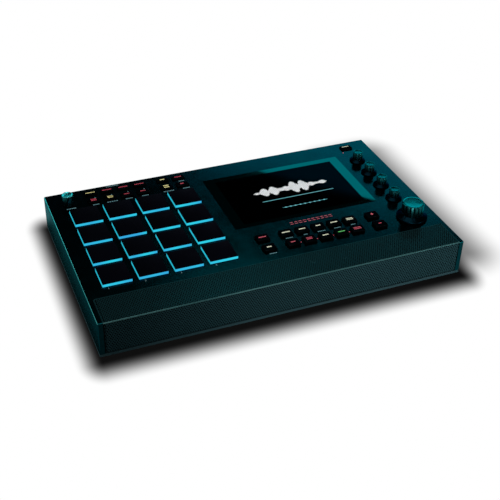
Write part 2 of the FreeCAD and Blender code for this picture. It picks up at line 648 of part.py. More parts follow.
def speaker_grille():
    """One sheet folded from the front face over the front strip of the top."""
    body = doc.addObject("PartDesign::Body", "speaker_grille_body")
    tall = f"({PANEL} - {SPLIT})"
    points = [("0", "0"), ("grille_thick", "0"), ("grille_thick", f"{tall} - grille_thick"),
              ("strip_depth", f"{tall} - grille_thick"), ("strip_depth", tall), ("0", tall)]
    sketch = outline(body, "grille_section", "YZ_Plane", points, f"{LEFT} + cheek")
    sheet_pad = pad_up(body, sketch, "case_width - 2 * cheek")
    high = sheet_pad.Shape.BoundBox.ZMax - 0.001
    fold = [f"Edge{i}" for i, edge in enumerate(sheet_pad.Shape.Edges, start=1)
            if min(edge.BoundBox.ZMin, high) == high and edge.BoundBox.YMax < 0.001]
    round_off(body, sheet_pad, fold, "fold_round")
    place(body, "0", FRONT, SPLIT)
    node(body, "speaker_grille")


def touch_display():
    """Cover glass with the display panel bonded under it."""
    x = f"({LEFT} + glass_left + glass_width / 2)"
    y = f"({FRONT} + glass_front + glass_depth / 2)"
    low = f"({PANEL} + glass_proud - glass_thick)"
    glass = middle_box("cover_glass", x, y, low, "glass_width", "glass_depth", "glass_thick")
    module = middle_box("display_panel", x, y, f"{low} - module_thick", "module_width", "module_depth",
                        "module_thick")
    node(fuse("touch_display_fuse", [glass, module]), "touch_display")


def circuit_boards():
    """Control board with its encoders under the panel, and main board on the base."""
    control = box("control_board", f"{LEFT} + wall + board_inset", f"{FRONT} + strip_depth + board_inset",
                  f"{BOARD} - board_thick", "case_width - 2 * (wall + board_inset)",
                  "case_depth - strip_depth - wall - 2 * board_inset", "board_thick")
    encoder_tall = "(board_drop - encoder_gap)"
    encoders = [middle_box(name + "_encoder", f"({LEFT} + {x})", f"({FRONT} + {y})", BOARD, "encoder_size",
                           "encoder_size", encoder_tall) for name, x, y in shaft_places()]
    bore_top = f"({UNDER} - encoder_gap)"
    bores = [column(name + "_bore", x, y, f"({bore_top} - encoder_bore)", bore_top, "shaft_radius + run_gap")
             for name, x, y in shaft_places()]
    bores += boss_columns("control_notch", "boss_radius + boss_gap", f"({BOARD} - board_thick)", BOARD)
    upper = cut("control_board_cut", fuse("control_with_encoders", [control] + encoders), bores)
    main = box("main_board", f"{LEFT} + main_left", f"{FRONT} + main_front", f"{MAIN} - board_thick",
               "main_width", "case_depth - wall - board_inset - main_front", "board_thick")
    switch = box("power_switch", f"{LEFT} + power_left - power_box / 2", f"{FRONT} + main_front + board_inset",
                 MAIN, "power_box", "case_depth - wall - under_gap - flange_thick - power_travel - stem_gap"
                 " - main_front - board_inset", "jack_tall")
    notches = boss_columns("main_notch", "boss_radius + boss_gap", f"({MAIN} - board_thick)", MAIN)
    lower = cut("main_board_cut", fuse("main_with_switch", [main, switch]), notches)
    node(compound("circuit_boards_all", [upper, lower]), "circuit_boards")


def speaker_drivers():
    """Two identical speakers that stand on the base behind the grille."""
    drivers = []
    for i, x in enumerate(SPEAKERS):
        face = f"({FRONT} + grille_thick + speaker_gap)"
        flange = box(f"speaker_flange_{i}", f"{LEFT} + {x} - speaker_width / 2", face, SPLIT, "speaker_width",
                     "speaker_flange", "speaker_tall")
        axis = (f"{LEFT} + {x}", f"{face} + speaker_flange", f"{SPLIT} + speaker_tall / 2")
        basket = rod(f"speaker_basket_{i}", *axis, "speaker_radius", "basket_depth", TO_REAR)
        magnet = rod(f"speaker_magnet_{i}", *axis, "magnet_radius", "basket_depth + magnet_depth", TO_REAR)
        drivers.append(fuse(f"speaker_{i}", [flange, basket, magnet]))
    node(compound("speaker_drivers_all", drivers), "speaker_drivers")


def jack_socket(index, x):
    """A jack socket: body on the main board, threaded bush and nut, open bore."""
    body = middle_box(f"jack_body_{index}", f"({LEFT} + {x})", f"({REAR} - wall - jack_deep / 2)", MAIN, "jack_box",
                      "jack_deep", "jack_tall")
    start = f"({REAR} - wall)"
    bush = rod(f"jack_bush_{index}", f"{LEFT} + {x}", start, JACK_AXIS, "jack_bush", "wall + jack_reach", TO_REAR)
    nut = rod(f"jack_nut_{index}", f"{LEFT} + {x}", REAR, JACK_AXIS, "jack_nut", "nut_thick", TO_REAR)
    bore = rod(f"jack_bore_{index}", f"{LEFT} + {x}", f"{REAR} + jack_reach", JACK_AXIS, "jack_bore",
               "jack_bore_length", TO_FRONT)
    return cut(f"jack_{index}", fuse(f"jack_solid_{index}", [body, bush, nut]), [bore])


def din_socket(index, x):
    """A round data socket with five contact holes on half a ring."""
    body = middle_box(f"din_body_{index}", f"({LEFT} + {x})", f"({REAR} - wall - din_deep / 2)", MAIN, "din_box",
                      "din_deep", "din_box")
    face = rod(f"din_face_{index}", f"{LEFT} + {x}", f"{REAR} - wall", DIN_AXIS, "din_radius", "wall + face_proud",
               TO_REAR)
    holes = [rod(f"din_contact_{index}_{i}", f"{LEFT} + {x} + contact_ring * cos({angle})",
                 f"{REAR} + face_proud", f"{DIN_AXIS} + contact_ring * sin({angle})", "contact_radius",
                 "contact_depth", TO_FRONT) for i, angle in enumerate(range(0, 181, 45))]
    return cut(f"din_{index}", fuse(f"din_solid_{index}", [body, face]), holes)


def usb_socket():
    """A square data socket with its tongue."""
    length = "(usb_deep + wall + face_proud)"
    shell = box("usb_shell", f"{LEFT} + usb_left - usb_width / 2", f"{REAR} + face_proud - {length}", MAIN,
                "usb_width", length, "usb_tall")
    mouth = box("usb_mouth", f"{LEFT} + usb_left - usb_mouth_width / 2", f"{REAR} + face_proud - usb_mouth_depth",
                f"{USB_AXIS} - usb_mouth_tall / 2", "usb_mouth_width", "usb_mouth_depth", "usb_mouth_tall")
    tongue = box("usb_tongue", f"{LEFT} + usb_left - tongue_width / 2", f"{REAR} + face_proud - usb_mouth_depth",
                 f"{USB_AXIS} - tongue_tall / 2", "tongue_width", "usb_mouth_depth - face_proud", "tongue_tall")
    return fuse("usb_socket", [cut("usb_open", shell, [mouth]), tongue])


def power_inlet():
    """A round power inlet with its centre pin."""
    body = middle_box("inlet_body", f"({LEFT} + inlet_left)", f"({REAR} - wall - inlet_deep / 2)", MAIN, "inlet_box",
                      "inlet_deep", "inlet_tall")
    face = rod("inlet_face_rod", f"{LEFT} + inlet_left", f"{REAR} - wall", INLET_AXIS, "inlet_face",
               "wall + face_proud", TO_REAR)
    start = f"{REAR} + face_proud"
    bore = rod("inlet_bore_rod", f"{LEFT} + inlet_left", start, INLET_AXIS, "inlet_bore", "inlet_bore_depth",
               TO_FRONT)
    pin = rod("inlet_pin_rod", f"{LEFT} + inlet_left", f"{start} - inlet_bore_depth", INLET_AXIS, "inlet_pin",
              "inlet_bore_depth - face_proud", TO_REAR)
    return fuse("power_inlet", [cut("inlet_open", fuse("inlet_solid", [body, face]), [bore]), pin])


def rear_sockets():
    """Every socket behind the rear wall, each a separate solid."""
    sockets = [jack_socket(i, x) for i, x in enumerate(JACKS)]
    sockets += [din_socket(i, x) for i, x in enumerate(DINS)]
    sockets += [usb_socket(), power_inlet()]
    node(compound("rear_sockets_all", sockets), "rear_sockets")


def power_button():
    """Round button in the rear wall, with a flange inside and its stem to the switch."""
    start = f"({REAR} - wall - under_gap - flange_thick)"
    cap = rod("power_cap", f"{LEFT} + power_left", start, JACK_AXIS, "power_radius",
              "flange_thick + under_gap + wall + power_reach", TO_REAR)
    flange = rod("power_flange", f"{LEFT} + power_left", start, JACK_AXIS, "power_radius + flange_lip",
                 "flange_thick", TO_REAR)
    node(fuse("power_button_fuse", [cap, flange]), "power_button")


def rubber_feet():
    """Four feet under the base."""
    feet = []
    for i, x in enumerate(["foot_inset", "(case_width - foot_inset)"]):
        for j, y in enumerate(["foot_inset", "(case_depth - foot_inset)"]):
            foot = doc.addObject("Part::Cone", f"foot_{i}_{j}")
            bind(foot, Radius1="foot_radius", Radius2="foot_radius + foot_flare", Height="foot_height")
            feet.append(place(foot, f"{LEFT} + {x}", f"{FRONT} + {y}", "0"))
    node(compound("rubber_feet_all", feet), "rubber_feet")


def case_screws():
    """Six screws from below the base into the bosses of the top case."""
    seat = "(foot_height + head_depth)"
    heads = boss_columns("screw_head", "screw_head", f"({seat} - head_thick)", seat)
    shanks = boss_columns("screw_shank", "screw_radius", seat, f"({SPLIT} + screw_reach)")
    screws = [fuse(f"screw_{i}", [head, shank]) for i, (head, shank) in enumerate(zip(heads, shanks))]
    node(compound("case_screws_all", screws), "case_screws")


def check_and_write():
    """Stop on a failed object or a bad shape, then write one file for each node."""
    doc.recompute()
    for item in doc.Objects:
        if "Invalid" in item.State or "Error" in item.State:
            raise RuntimeError(f"{item.Name} is in state {item.State}")
    os.makedirs("parts", exist_ok=True)
    for item in nodes:
        shape = item.Shape
        if shape.isNull() or not shape.isValid() or not shape.Solids:
            raise RuntimeError(f"{item.Label} has no valid solid")
        shape.exportStep(f"parts/{item.Label}.step")
        print(f"{item.Label}: {len(shape.Solids)} solids, {shape.Volume / 1000:.2f} cm3")
    print(f"{len(nodes)} nodes")


fill_sheet()
keys = key_table()
for key in keys:
    cap_key(*key)
for i in range(4):
    small_knob(f"control_knob_{i + 1}", "knob_left", knob_front(i), "knob_radius", "knob_skirt", "knob_height")
small_knob("volume_knob", "volume_left", "volume_front", "volume_radius", None, "volume_height")
large_dial()
power_button()
top_case(keys)
base_tray()
speaker_grille()
touch_display()
circuit_boards()
speaker_drivers()
rear_sockets()
rubber_feet()
case_screws()
check_and_write()
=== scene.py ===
"""Looks of the drum machine, built around its packed construction.

Every length is in metres, in the frame's axes: X to the player's right, Y to the
rear, Z up, with the origin in the middle of the footprint at desk height.
"""
from __future__ import annotations

import logging
import math
from dataclasses import dataclass, field
from enum import Enum

import bmesh
import bpy
from mathutils import Matrix, Quaternion, Vector


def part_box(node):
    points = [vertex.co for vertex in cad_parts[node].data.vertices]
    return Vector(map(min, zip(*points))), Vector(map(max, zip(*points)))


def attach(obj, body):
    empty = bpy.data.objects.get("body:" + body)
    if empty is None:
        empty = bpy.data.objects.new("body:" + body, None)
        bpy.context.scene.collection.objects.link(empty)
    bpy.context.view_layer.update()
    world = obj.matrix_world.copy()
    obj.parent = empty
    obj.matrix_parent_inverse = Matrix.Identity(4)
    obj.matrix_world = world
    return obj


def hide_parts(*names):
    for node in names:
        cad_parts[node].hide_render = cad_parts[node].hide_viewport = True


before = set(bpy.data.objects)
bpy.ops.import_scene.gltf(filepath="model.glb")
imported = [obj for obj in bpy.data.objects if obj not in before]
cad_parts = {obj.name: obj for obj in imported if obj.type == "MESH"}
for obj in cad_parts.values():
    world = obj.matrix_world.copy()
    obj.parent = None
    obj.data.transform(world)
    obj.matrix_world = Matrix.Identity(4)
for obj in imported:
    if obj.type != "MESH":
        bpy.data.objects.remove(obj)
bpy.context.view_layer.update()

LOG = logging.getLogger("drum_machine")
MM = 0.001
CASE_BODY = "case"
SMOOTH_ANGLE = math.radians(32)
EIGHTH_TURN = math.pi / 4
MERGE = 1e-6
# Width of the hidden flange round a cap, how far prints and signs stand up, and the gap
# under a printed number.
CAP_LIP = 1.2 * MM
PRINT_RISE = 0.05 * MM
SIGN_RISE = 0.06 * MM
PRINT_GAP = 0.04 * MM
# Signs: distance of two rows from the middle in row heights, place and size of the arrow,
# pitch of the dashes in millimetres, the part of it that a dash fills, and the font size
# of a figure in figure heights.
ROW_GAP = 0.95
ARROW_SPOT = Vector((2.4 * MM, 3.3 * MM, 0))
ARROW_RADIUS = 0.9 * MM
DASH_PITCH = 1.4
DASH_FILL = 0.68
FIGURE_SIZE = 1.4
RGB = tuple[float, float, float]
Point = tuple[float, float, float]
Shape = bmesh.types.BMesh
Vert = bmesh.types.BMVert
Node = bpy.types.Node
Tree = bpy.types.NodeTree
Socket = bpy.types.NodeSocket
Value = Socket | float


def srgb(red: int, green: int, blue: int) -> RGB:
    """Linear colour of a screen colour.

    Args:
        red, green, blue: Screen values from 0 to 255.

    Returns:
        The same colour in linear light.
    """
    values = []
    for value in (red / 255, green / 255, blue / 255):
        values.append(value / 12.92 if value <= 0.04045 else ((value + 0.055) / 1.055) ** 2.4)
    return tuple(values)


def set_inputs(tree: Tree, node: Node, inputs: dict[str | int, object]) -> None:
    """Feed a shader node.

    Args:
        tree: Node tree of the node.
        node: The node.
        inputs: A socket to link or a constant to set, by the input's name or number.
    """
    for name, value in inputs.items():
        if isinstance(value, Socket):
            tree.links.new(value, node.inputs[name])
        else:
            node.inputs[name].default_value = value


def add_node(tree: Tree, kind: str, inputs: dict[str | int, object] | None = None, **options: object) -> Node:
    """Add a shader node.

    Args:
        tree: Node tree that receives it.
        kind: Type of the node.
        inputs: Its inputs, as set_inputs takes them.
        options: Options of the node, set before its inputs.

    Returns:
        The new node.
    """
    node = tree.nodes.new(kind)
    for name, option in options.items():
        setattr(node, name, option)
    set_inputs(tree, node, inputs or {})
    return node


def remap(tree: Tree, value: Socket, start: tuple[Value, Value] = (0.0, 1.0),
          end: tuple[Value, Value] = (0.0, 1.0), bend: str = "LINEAR") -> Socket:
    """Map one span of values to another.

    Args:
        tree: Node tree that receives the node.
        value: What is mapped.
        start: Both ends of the first span.
        end: Both ends of the second span.
        bend: How the values between run.

    Returns:
        The mapped value.
    """
    node = add_node(tree, "ShaderNodeMapRange", {"Value": value, "From Min": start[0], "From Max": start[1],
                                                 "To Min": end[0], "To Max": end[1]}, interpolation_type=bend)
    return node.outputs["Result"]


def mix_colours(tree: Tree, share: Socket, first: RGB | Socket, second: RGB | Socket) -> Socket:
    """Mix two colours.

    Args:
        tree: Node tree that receives the node.
        share: Share of the second colour.
        first, second: The colours.

    Returns:
        The mixed colour.
    """
    both = [colour if isinstance(colour, Socket) else (*colour, 1.0) for colour in (first, second)]
    node = add_node(tree, "ShaderNodeMix", {"Factor": share, "A": both[0], "B": both[1]}, data_type="RGBA")
    return node.outputs["Result"]


def calculate(tree: Tree, operation: str, first: Socket, second: Value) -> Socket:
    """Work out a value from two others by a Math node."""
    return add_node(tree, "ShaderNodeMath", {0: first, 1: second}, operation=operation).outputs["Value"]


class Pattern(Enum):
    """Surface detail that a finish carries."""

    GRAIN = "moulded_grain"
    BRUSHED = "turned_metal"
    GLOW = "light_guide"
    STREAKS = "wall_streaks"


@dataclass
class PatternGroups:
    """Shader node groups shared by the finishes, each built once.

    Attributes:
        tone: Scale of the broad tone, per metre.
        glow_tone: The same for a light guide.
        smudge: Scale of the smudges, per metre.
        drawn: Scale along the direction in which a pattern is drawn out.
        spread: Noise values that become 0 and 1.
        built: Groups made so far.
    """

    tone: float = 14.0
    glow_tone: float = 40.0
    smudge: float = 55.0
    drawn: float = 0.05
    spread: tuple[float, float] = (0.35, 0.65)
    built: dict[Pattern, Tree] = field(default_factory=dict)

    def get(self, pattern: Pattern) -> Tree:
        """The group of a pattern.

        Args:
            pattern: Which pattern is wanted.

        Returns:
            Its node group, with inputs Vector and Scale and outputs Tone, Smudge and Height.
        """
        if pattern not in self.built:
            self.built[pattern] = self._build(pattern)
        return self.built[pattern]

    def _build(self, pattern: Pattern) -> Tree:
        """Make a group: a broad tone, a smudge mask and a fine height.

        Args:
            pattern: Which pattern to make.

        Returns:
            The new node group.
        """
        tree = bpy.data.node_groups.new(pattern.value, "ShaderNodeTree")
        tree.interface.new_socket("Vector", in_out="INPUT", socket_type="NodeSocketVector")
        tree.interface.new_socket("Scale", in_out="INPUT", socket_type="NodeSocketFloat")
        for name in ("Tone", "Smudge", "Height"):
            tree.interface.new_socket(name, in_out="OUTPUT", socket_type="NodeSocketFloat")
        source = tree.nodes.new("NodeGroupInput")
        result = tree.nodes.new("NodeGroupOutput")
        stretch = {Pattern.BRUSHED: (self.drawn, self.drawn, 1.0), Pattern.STREAKS: (1.0, 1.0, self.drawn)}
        place = add_node(tree, "ShaderNodeMapping", {"Vector": source.outputs["Vector"],
                                                     "Scale": stretch.get(pattern, (1.0, 1.0, 1.0))})
        vector = place.outputs["Vector"]
        tone = self.glow_tone if pattern is Pattern.GLOW else self.tone
        for name, scale, detail in (("Tone", tone, 3.0), ("Smudge", self.smudge, 4.0)):
            noise = add_node(tree, "ShaderNodeTexNoise", {"Vector": vector, "Scale": scale, "Detail": detail})
            tree.links.new(remap(tree, noise.outputs["Fac"], self.spread), result.inputs[name])
        fine = add_node(tree, "ShaderNodeTexNoise", {"Vector": vector, "Scale": source.outputs["Scale"],
                                                     "Detail": 2.0})
        tree.links.new(fine.outputs["Fac"], result.inputs["Height"])
        return tree


GROUPS = PatternGroups()
MADE: dict[str, bpy.types.Material] = {}
UNLIT = (0.01, 0.01, 0.01, 1.0)
QUARTER_TURN = 0.25


@dataclass(frozen=True)
class Side:
    """Look of the faces that point along one axis, where it differs from the rest: painted light and shade by
    facing, on faces of one material.

    Attributes:
        axis: Axis of the faces' normals, X, Y or Z, or XZ for the slope between X and Z.
        sign: 1 or -1 for one direction, 0 for both.
        colour: Colour of those faces, linear.
        metal: Their metallic share.
        streak: Colour of fine upright streaks on them, strongest at the rear; dying away towards the front,
            they paint shade that darkens the front of the walls.
        fineness: Scale of the streaks, per metre.
        contrast: Noise values that are between the streaks and in their middle.
        fade: Places along Y where the streaks begin and are full, a painted shade that darkens the walls
            towards the front.
        dull: Metallic share between the streaks, as a part of the one in them.
        facing: Components of the normal where this look begins and is full.
    """

    axis: str
    sign: int
    colour: RGB
    metal: float
    streak: RGB | None = None
    fineness: float = 520.0
    contrast: tuple[float, float] = (0.34, 0.70)
    fade: tuple[float, float] = (-0.13, 0.11)
    dull: float = 0.5
    facing: tuple[float, float] = (0.75, 0.95)

    def spread(self, tree: Tree, surface: Socket, metal: Value, where: Node) -> tuple[Socket, Socket]:
        """Give the faces that point one way their own colour and metallic share.

        Args:
            tree: The material's nodes.
            surface: Colour of the other faces.
            metal: Metallic share of the other faces.
            where: The texture coordinates.

        Returns:
            The mixed colour and the mixed metallic share.
        """
        split = add_node(tree, "ShaderNodeSeparateXYZ", {"Vector": where.outputs["Normal"]})
        # On a slope the product of X and Z is at most a half, so it is doubled.
        size = calculate(tree, "MULTIPLY" if self.sign else "ABSOLUTE", split.outputs[self.axis[0]],
                         self.sign * len(self.axis))
        if self.axis == "XZ":
            size = calculate(tree, "MULTIPLY", size, split.outputs["Z"])
        mask = remap(tree, size, self.facing)
        colour, shine = self._streaks(tree, where) if self.streak else (self.colour, self.metal)
        return mix_colours(tree, mask, surface, colour), remap(tree, mask, end=(metal, shine))

    def _streaks(self, tree: Tree, where: Node) -> tuple[Socket, Socket]:
        """Draw fine upright streaks that die away towards the front: a painted shade that darkens the front
        of the walls.

        Args:
            tree: The material's nodes.
            where: The texture coordinates.

        Returns:
            The streaked colour, and the streaked metallic share.
        """
        fine = add_node(tree, "ShaderNodeGroup", {"Vector": where.outputs["Object"], "Scale": self.fineness},
                        node_tree=GROUPS.get(Pattern.STREAKS))
        place = add_node(tree, "ShaderNodeSeparateXYZ", {"Vector": where.outputs["Object"]})
        fade = remap(tree, place.outputs["Y"], self.fade)
        mask = remap(tree, fine.outputs["Height"], self.contrast, (0.0, fade))
        shine = remap(tree, mask, end=(self.metal * self.dull, self.metal))
        return mix_colours(tree, mask, self.colour, self.streak), shine


@dataclass(frozen=True)
class Finish:
    """One surface finish: colours, gloss, grain and light.

    Attributes:
        name: Name of the material.
        colour: Main colour, linear.
        shade: Colour that the main one drifts towards, linear.
        rough: Least and greatest roughness over the surface.
        metal: Metallic share.
        gloss: Specular level.
        gloss_tint: Tint of the reflections.
        pattern: Surface detail.
        grain: Scale of the fine height, per metre.
        depth: Depth of the fine height, in metres.
        glow: Strength of the emitted light, with the main colour.
        spun: Anisotropy of a turned face about the piece's upright axis.
        sides: Faces with a look of their own: painted light and shade by facing.
    """

    name: str
    colour: RGB
    shade: RGB
    rough: tuple[float, float] = (0.4, 0.5)
    metal: float = 0.0
    gloss: float = 0.5
    gloss_tint: RGB = (1.0, 1.0, 1.0)
    pattern: Pattern = Pattern.GRAIN
    grain: float = 2600.0
    depth: float = 0.00002
    glow: float = 0.0
    spun: float = 0.0
    sides: tuple[Side, ...] = ()

    def material(self) -> bpy.types.Material:
        """The finish's material, made at its first use.

        Returns:
            A node material that reads Object coordinates.
        """
        if self.name in MADE:
            return MADE[self.name]
        material = MADE[self.name] = bpy.data.materials.new(self.name)
        material.use_nodes = True
        tree = material.node_tree
        shader = tree.nodes["Principled BSDF"]
        set_inputs(tree, shader, {"Metallic": self.metal, "Specular IOR Level": self.gloss,
                                  "Specular Tint": (*self.gloss_tint, 1.0)})
        where = add_node(tree, "ShaderNodeTexCoord")
        detail = add_node(tree, "ShaderNodeGroup", {"Vector": where.outputs["Object"], "Scale": self.grain},
                          node_tree=GROUPS.get(self.pattern))
        surface, metal = mix_colours(tree, detail.outputs["Tone"], self.colour, self.shade), self.metal
        for side in self.sides:
            surface, metal = side.spread(tree, surface, metal, where)
        bump = add_node(tree, "ShaderNodeBump", {"Height": detail.outputs["Height"], "Distance": self.depth})
        set_inputs(tree, shader, {"Metallic": metal, "Normal": bump.outputs["Normal"],
                                  "Roughness": remap(tree, detail.outputs["Smudge"], end=self.rough)})
        if self.glow:
            set_inputs(tree, shader, {"Base Color": UNLIT, "Emission Strength": self.glow,
                                      "Emission Color": surface})
        else:
            set_inputs(tree, shader, {"Base Color": surface})
        if self.spun:
            turned = add_node(tree, "ShaderNodeTangent", direction_type="RADIAL", axis="Z")
            set_inputs(tree, shader, {"Anisotropic": self.spun, "Anisotropic Rotation": QUARTER_TURN,
                                      "Tangent": turned.outputs["Tangent"]})
        return material


def lamp_finish(name: str, colour: RGB, shade: RGB) -> Finish:
    """A finish that shines with its own colour."""
    return Finish(name, colour, shade, pattern=Pattern.GLOW, glow=1.0)


TEAL_GLINT = (0.02, 0.85, 0.95)
DEEP_GLINT = (0.02, 0.50, 0.56)
# The case's X sides and front face get their own colour and metallic share: painted shade by facing.
CASE = Finish("case_satin", (0.0008, 0.021, 0.0245), (0.0008, 0.018, 0.022), (0.15, 0.20), metal=1.0,
              gloss=0.0, gloss_tint=DEEP_GLINT, sides=(
                  # The streaks on the X sides die away towards the front: painted shade.
                  Side("X", 0, (0.001, 0.011, 0.014), 0.5, streak=(0.003, 0.046, 0.047)),
                  # The XZ look lights only the slope of the left top edge: a painted highlight.
                  Side("Y", -1, (0.001, 0.022, 0.027), 0.0), Side("XZ", -1, (0.055, 0.20, 0.195), 1.0)))
BASE = Finish("base_satin", (0.026, 0.058, 0.066), (0.021, 0.048, 0.056), (0.5, 0.6), metal=0.1, gloss=0.05,
              gloss_tint=DEEP_GLINT)
# The grille's front face and top strip get their own colour and metallic share: painted shade by facing, on
# one sheet.
MESH = Finish("grille_paint", (0.006, 0.044, 0.049), (0.005, 0.036, 0.041), (0.22, 0.28), metal=0.95,
              gloss=0.0, gloss_tint=DEEP_GLINT, sides=(
                  Side("Y", -1, (0.013, 0.038, 0.044), 0.0), Side("Z", 1, (0.007, 0.025, 0.028), 0.45)))
# The fold band is the same sheet in a lighter, greyer finish: a painted highlight along the fold.
FOLD_HIGHLIGHT = Finish("fold_painted_highlight", (0.040, 0.100, 0.100), (0.022, 0.062, 0.064), (0.35, 0.45), metal=0.3, gloss=0.0,
              gloss_tint=DEEP_GLINT)
# Dark cloth at the bottom of each hole; the same finish on the set-back front borders of the grille is a
# painted shadow in the gap.
CLOTH_AND_GAP_SHADE = Finish("grille_cloth_and_gap_shade", srgb(4, 5, 6), srgb(2, 3, 4), (0.8, 0.9), gloss=0.02)
PAD_TOP = Finish("pad_silicone", srgb(2, 2, 6), srgb(4, 5, 10), (0.50, 0.60), metal=0.9, gloss=0.05,
                 gloss_tint=(0.45, 0.48, 0.50), grain=5200.0)
# The light guides' left and right faces glow darker than their front: painted shade.
PAD_GLOW = Finish("pad_light", srgb(44, 208, 232), srgb(50, 168, 224), (0.4, 0.5), gloss=0.05,
                  pattern=Pattern.GLOW, glow=1.0, sides=(Side("X", 0, srgb(36, 184, 208), 0.0),))
KEY = Finish("key_plastic", srgb(3, 5, 6), srgb(5, 8, 10), (0.34, 0.44), metal=0.97, gloss=0.02,
             gloss_tint=(0.34, 0.46, 0.48))
KNOB = Finish("knob_plastic", (0.008, 0.055, 0.056), (0.006, 0.046, 0.047), (0.14, 0.18), metal=1.0,
              gloss_tint=TEAL_GLINT, spun=0.8)
KNOB_END = Finish("knob_end", (0.0015, 0.026, 0.029), (0.0015, 0.022, 0.024), (0.20, 0.25), metal=1.0,
                  gloss_tint=TEAL_GLINT, spun=1.0)
# The dial's and the volume knob's tops are brighter copies of the knob top: painted sheen.
DIAL_END_PAINTED_SHEEN = Finish("dial_end_painted_sheen", (0.003, 0.066, 0.071), (0.003, 0.058, 0.062), (0.16, 0.20), metal=1.0,
                  gloss_tint=TEAL_GLINT, spun=1.0)
VOLUME_END_PAINTED_SHEEN = Finish("volume_end_painted_sheen", (0.080, 0.540, 0.550), (0.060, 0.440, 0.450), (0.20, 0.25), metal=1.0,
                    gloss_tint=TEAL_GLINT, spun=1.0)
# The skirts are near black, far darker than the grip: painted shade at each knob's foot, on a real skirt.
SKIRT = Finish("knob_skirt", (0.0004, 0.004, 0.006), (0.0004, 0.003, 0.005), (0.25, 0.35), metal=1.0,
               gloss_tint=DEEP_GLINT)
GLASS = Finish("display_glass", (0.0002, 0.0012, 0.0023), (0.0002, 0.0010, 0.0020), (0.04, 0.07), metal=1.0,
               gloss_tint=(0.40, 0.51, 0.51), depth=0.0)
BEZEL = Finish("display_border", (0.001, 0.045, 0.050), (0.001, 0.041, 0.046), (0.02, 0.05), metal=1.0,
               gloss_tint=(0.01, 0.50, 0.52), depth=0.0)
PRINT = Finish("panel_print", srgb(120, 150, 152), srgb(105, 136, 140), (0.5, 0.6), depth=0.0)
# The printed labels and arrows glow: painted light on print.
LABEL = Finish("key_label", srgb(104, 158, 166), srgb(90, 140, 150), (0.5, 0.6), glow=0.7,
               pattern=Pattern.GLOW)
SOCKET = Finish("socket_plastic", srgb(16, 18, 20), srgb(22, 24, 26), (0.4, 0.55))
STEEL = Finish("turned_steel", srgb(150, 152, 156), srgb(120, 122, 126), (0.2, 0.35), metal=1.0,
               pattern=Pattern.BRUSHED)
BOARD = Finish("solder_mask", srgb(12, 62, 34), srgb(9, 50, 27), (0.3, 0.45))
CONE = Finish("speaker_cone", srgb(18, 18, 18), srgb(26, 26, 26), (0.6, 0.75))
FOOT = Finish("foot_rubber", srgb(14, 14, 14), srgb(20, 20, 20), (0.7, 0.85), gloss=0.3)
SCREEN_WHITE = lamp_finish("screen_white", srgb(240, 244, 246), srgb(230, 236, 240))
SCREEN_TEAL = lamp_finish("screen_teal", srgb(60, 170, 180), srgb(46, 150, 162))
LIT_RED = lamp_finish("lit_red", srgb(196, 42, 72), srgb(170, 32, 58))
LIT_AMBER = lamp_finish("lit_amber", srgb(232, 222, 150), srgb(214, 204, 130))
LIT_WHITE = lamp_finish("lit_white", srgb(232, 234, 206), srgb(216, 220, 186))
LIT_GREEN = lamp_finish("lit_green", srgb(70, 206, 84), srgb(56, 180, 70))


class Sign(Enum):
    """Plain sign on a button."""

    ROW = "one row of dashes"
    ROWS = "two rows of dashes"
    PLUS = "plus"
    MINUS = "minus"


@dataclass(frozen=True)
class Mark:
    """Sign of one button and the light behind it.

    Attributes:
        sign: Which sign.
        lamp: Finish of the sign.
        width: Width of its rows, in millimetres.
        height: Height of a row, in millimetres.
        arrow: Whether a small printed triangle stands behind the sign.
        lift: How far the sign is set towards the rear, in millimetres.
    """

    sign: Sign
    lamp: Finish
    width: float = 8.0
    height: float = 1.6
    arrow: bool = False
    lift: float = 0.0


def to_mesh(name: str, shape: Shape) -> bpy.types.Mesh:
    """Turn an edited shape into a mesh.

    Args:
        name: Name of the mesh.
        shape: The shape, which is freed.

    Returns:
        The new mesh.
    """
    mesh = bpy.data.meshes.new(name)
    shape.to_mesh(mesh)
    shape.free()
    return mesh


def edges_of(verts: list[Vert]) -> list[bmesh.types.BMEdge]:
    """Every edge at some vertices."""
    return list({edge for vert in verts for edge in vert.link_edges})


def only_verts(items: list) -> list[Vert]:
    """Vertices among the items of a mesh operator's result."""
    return [item for item in items if isinstance(item, Vert)]


def node_box(node: str) -> tuple[Vector, Vector]:
    """Lowest and highest corner of a node at rest."""
    low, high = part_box(node)
    return Vector(low), Vector(high)


def add_object(name: str, data: bpy.types.ID) -> bpy.types.Object:
    """Put an object into the scene.

    Args:
        name: Name of the object.
        data: What it shows.

    Returns:
        The new object.
    """
    made = bpy.data.objects.new(name, data)
    bpy.context.scene.collection.objects.link(made)
    return made


def paint(verts: list[Vert], skin: int) -> None:
    """Give the faces round some vertices a material index."""
    for face in {face for vert in verts for face in vert.link_faces}:
        face.material_index = skin


def add_block(shape: Shape, low: Point, high: Point, bevel: float = 0.0, skin: int = 0) -> None:
    """Add a block with rounded edges.

    Args:
        shape: Mesh that receives the block.
        low: Lowest corner.
        high: Highest corner.
        bevel: Radius of the rounded edges.
        skin: Material index.
    """
    made = bmesh.ops.create_cube(shape, size=1.0)["verts"]
    size = Vector(high) - Vector(low)
    middle = (Vector(high) + Vector(low)) / 2
    bmesh.ops.scale(shape, vec=size, verts=made)
    bmesh.ops.translate(shape, vec=middle, verts=made)
    if bevel:
        made = bmesh.ops.bevel(shape, geom=edges_of(made), offset=bevel, segments=3, profile=0.5,
                               affect="EDGES", material=-1)["verts"]
    paint(made, skin)


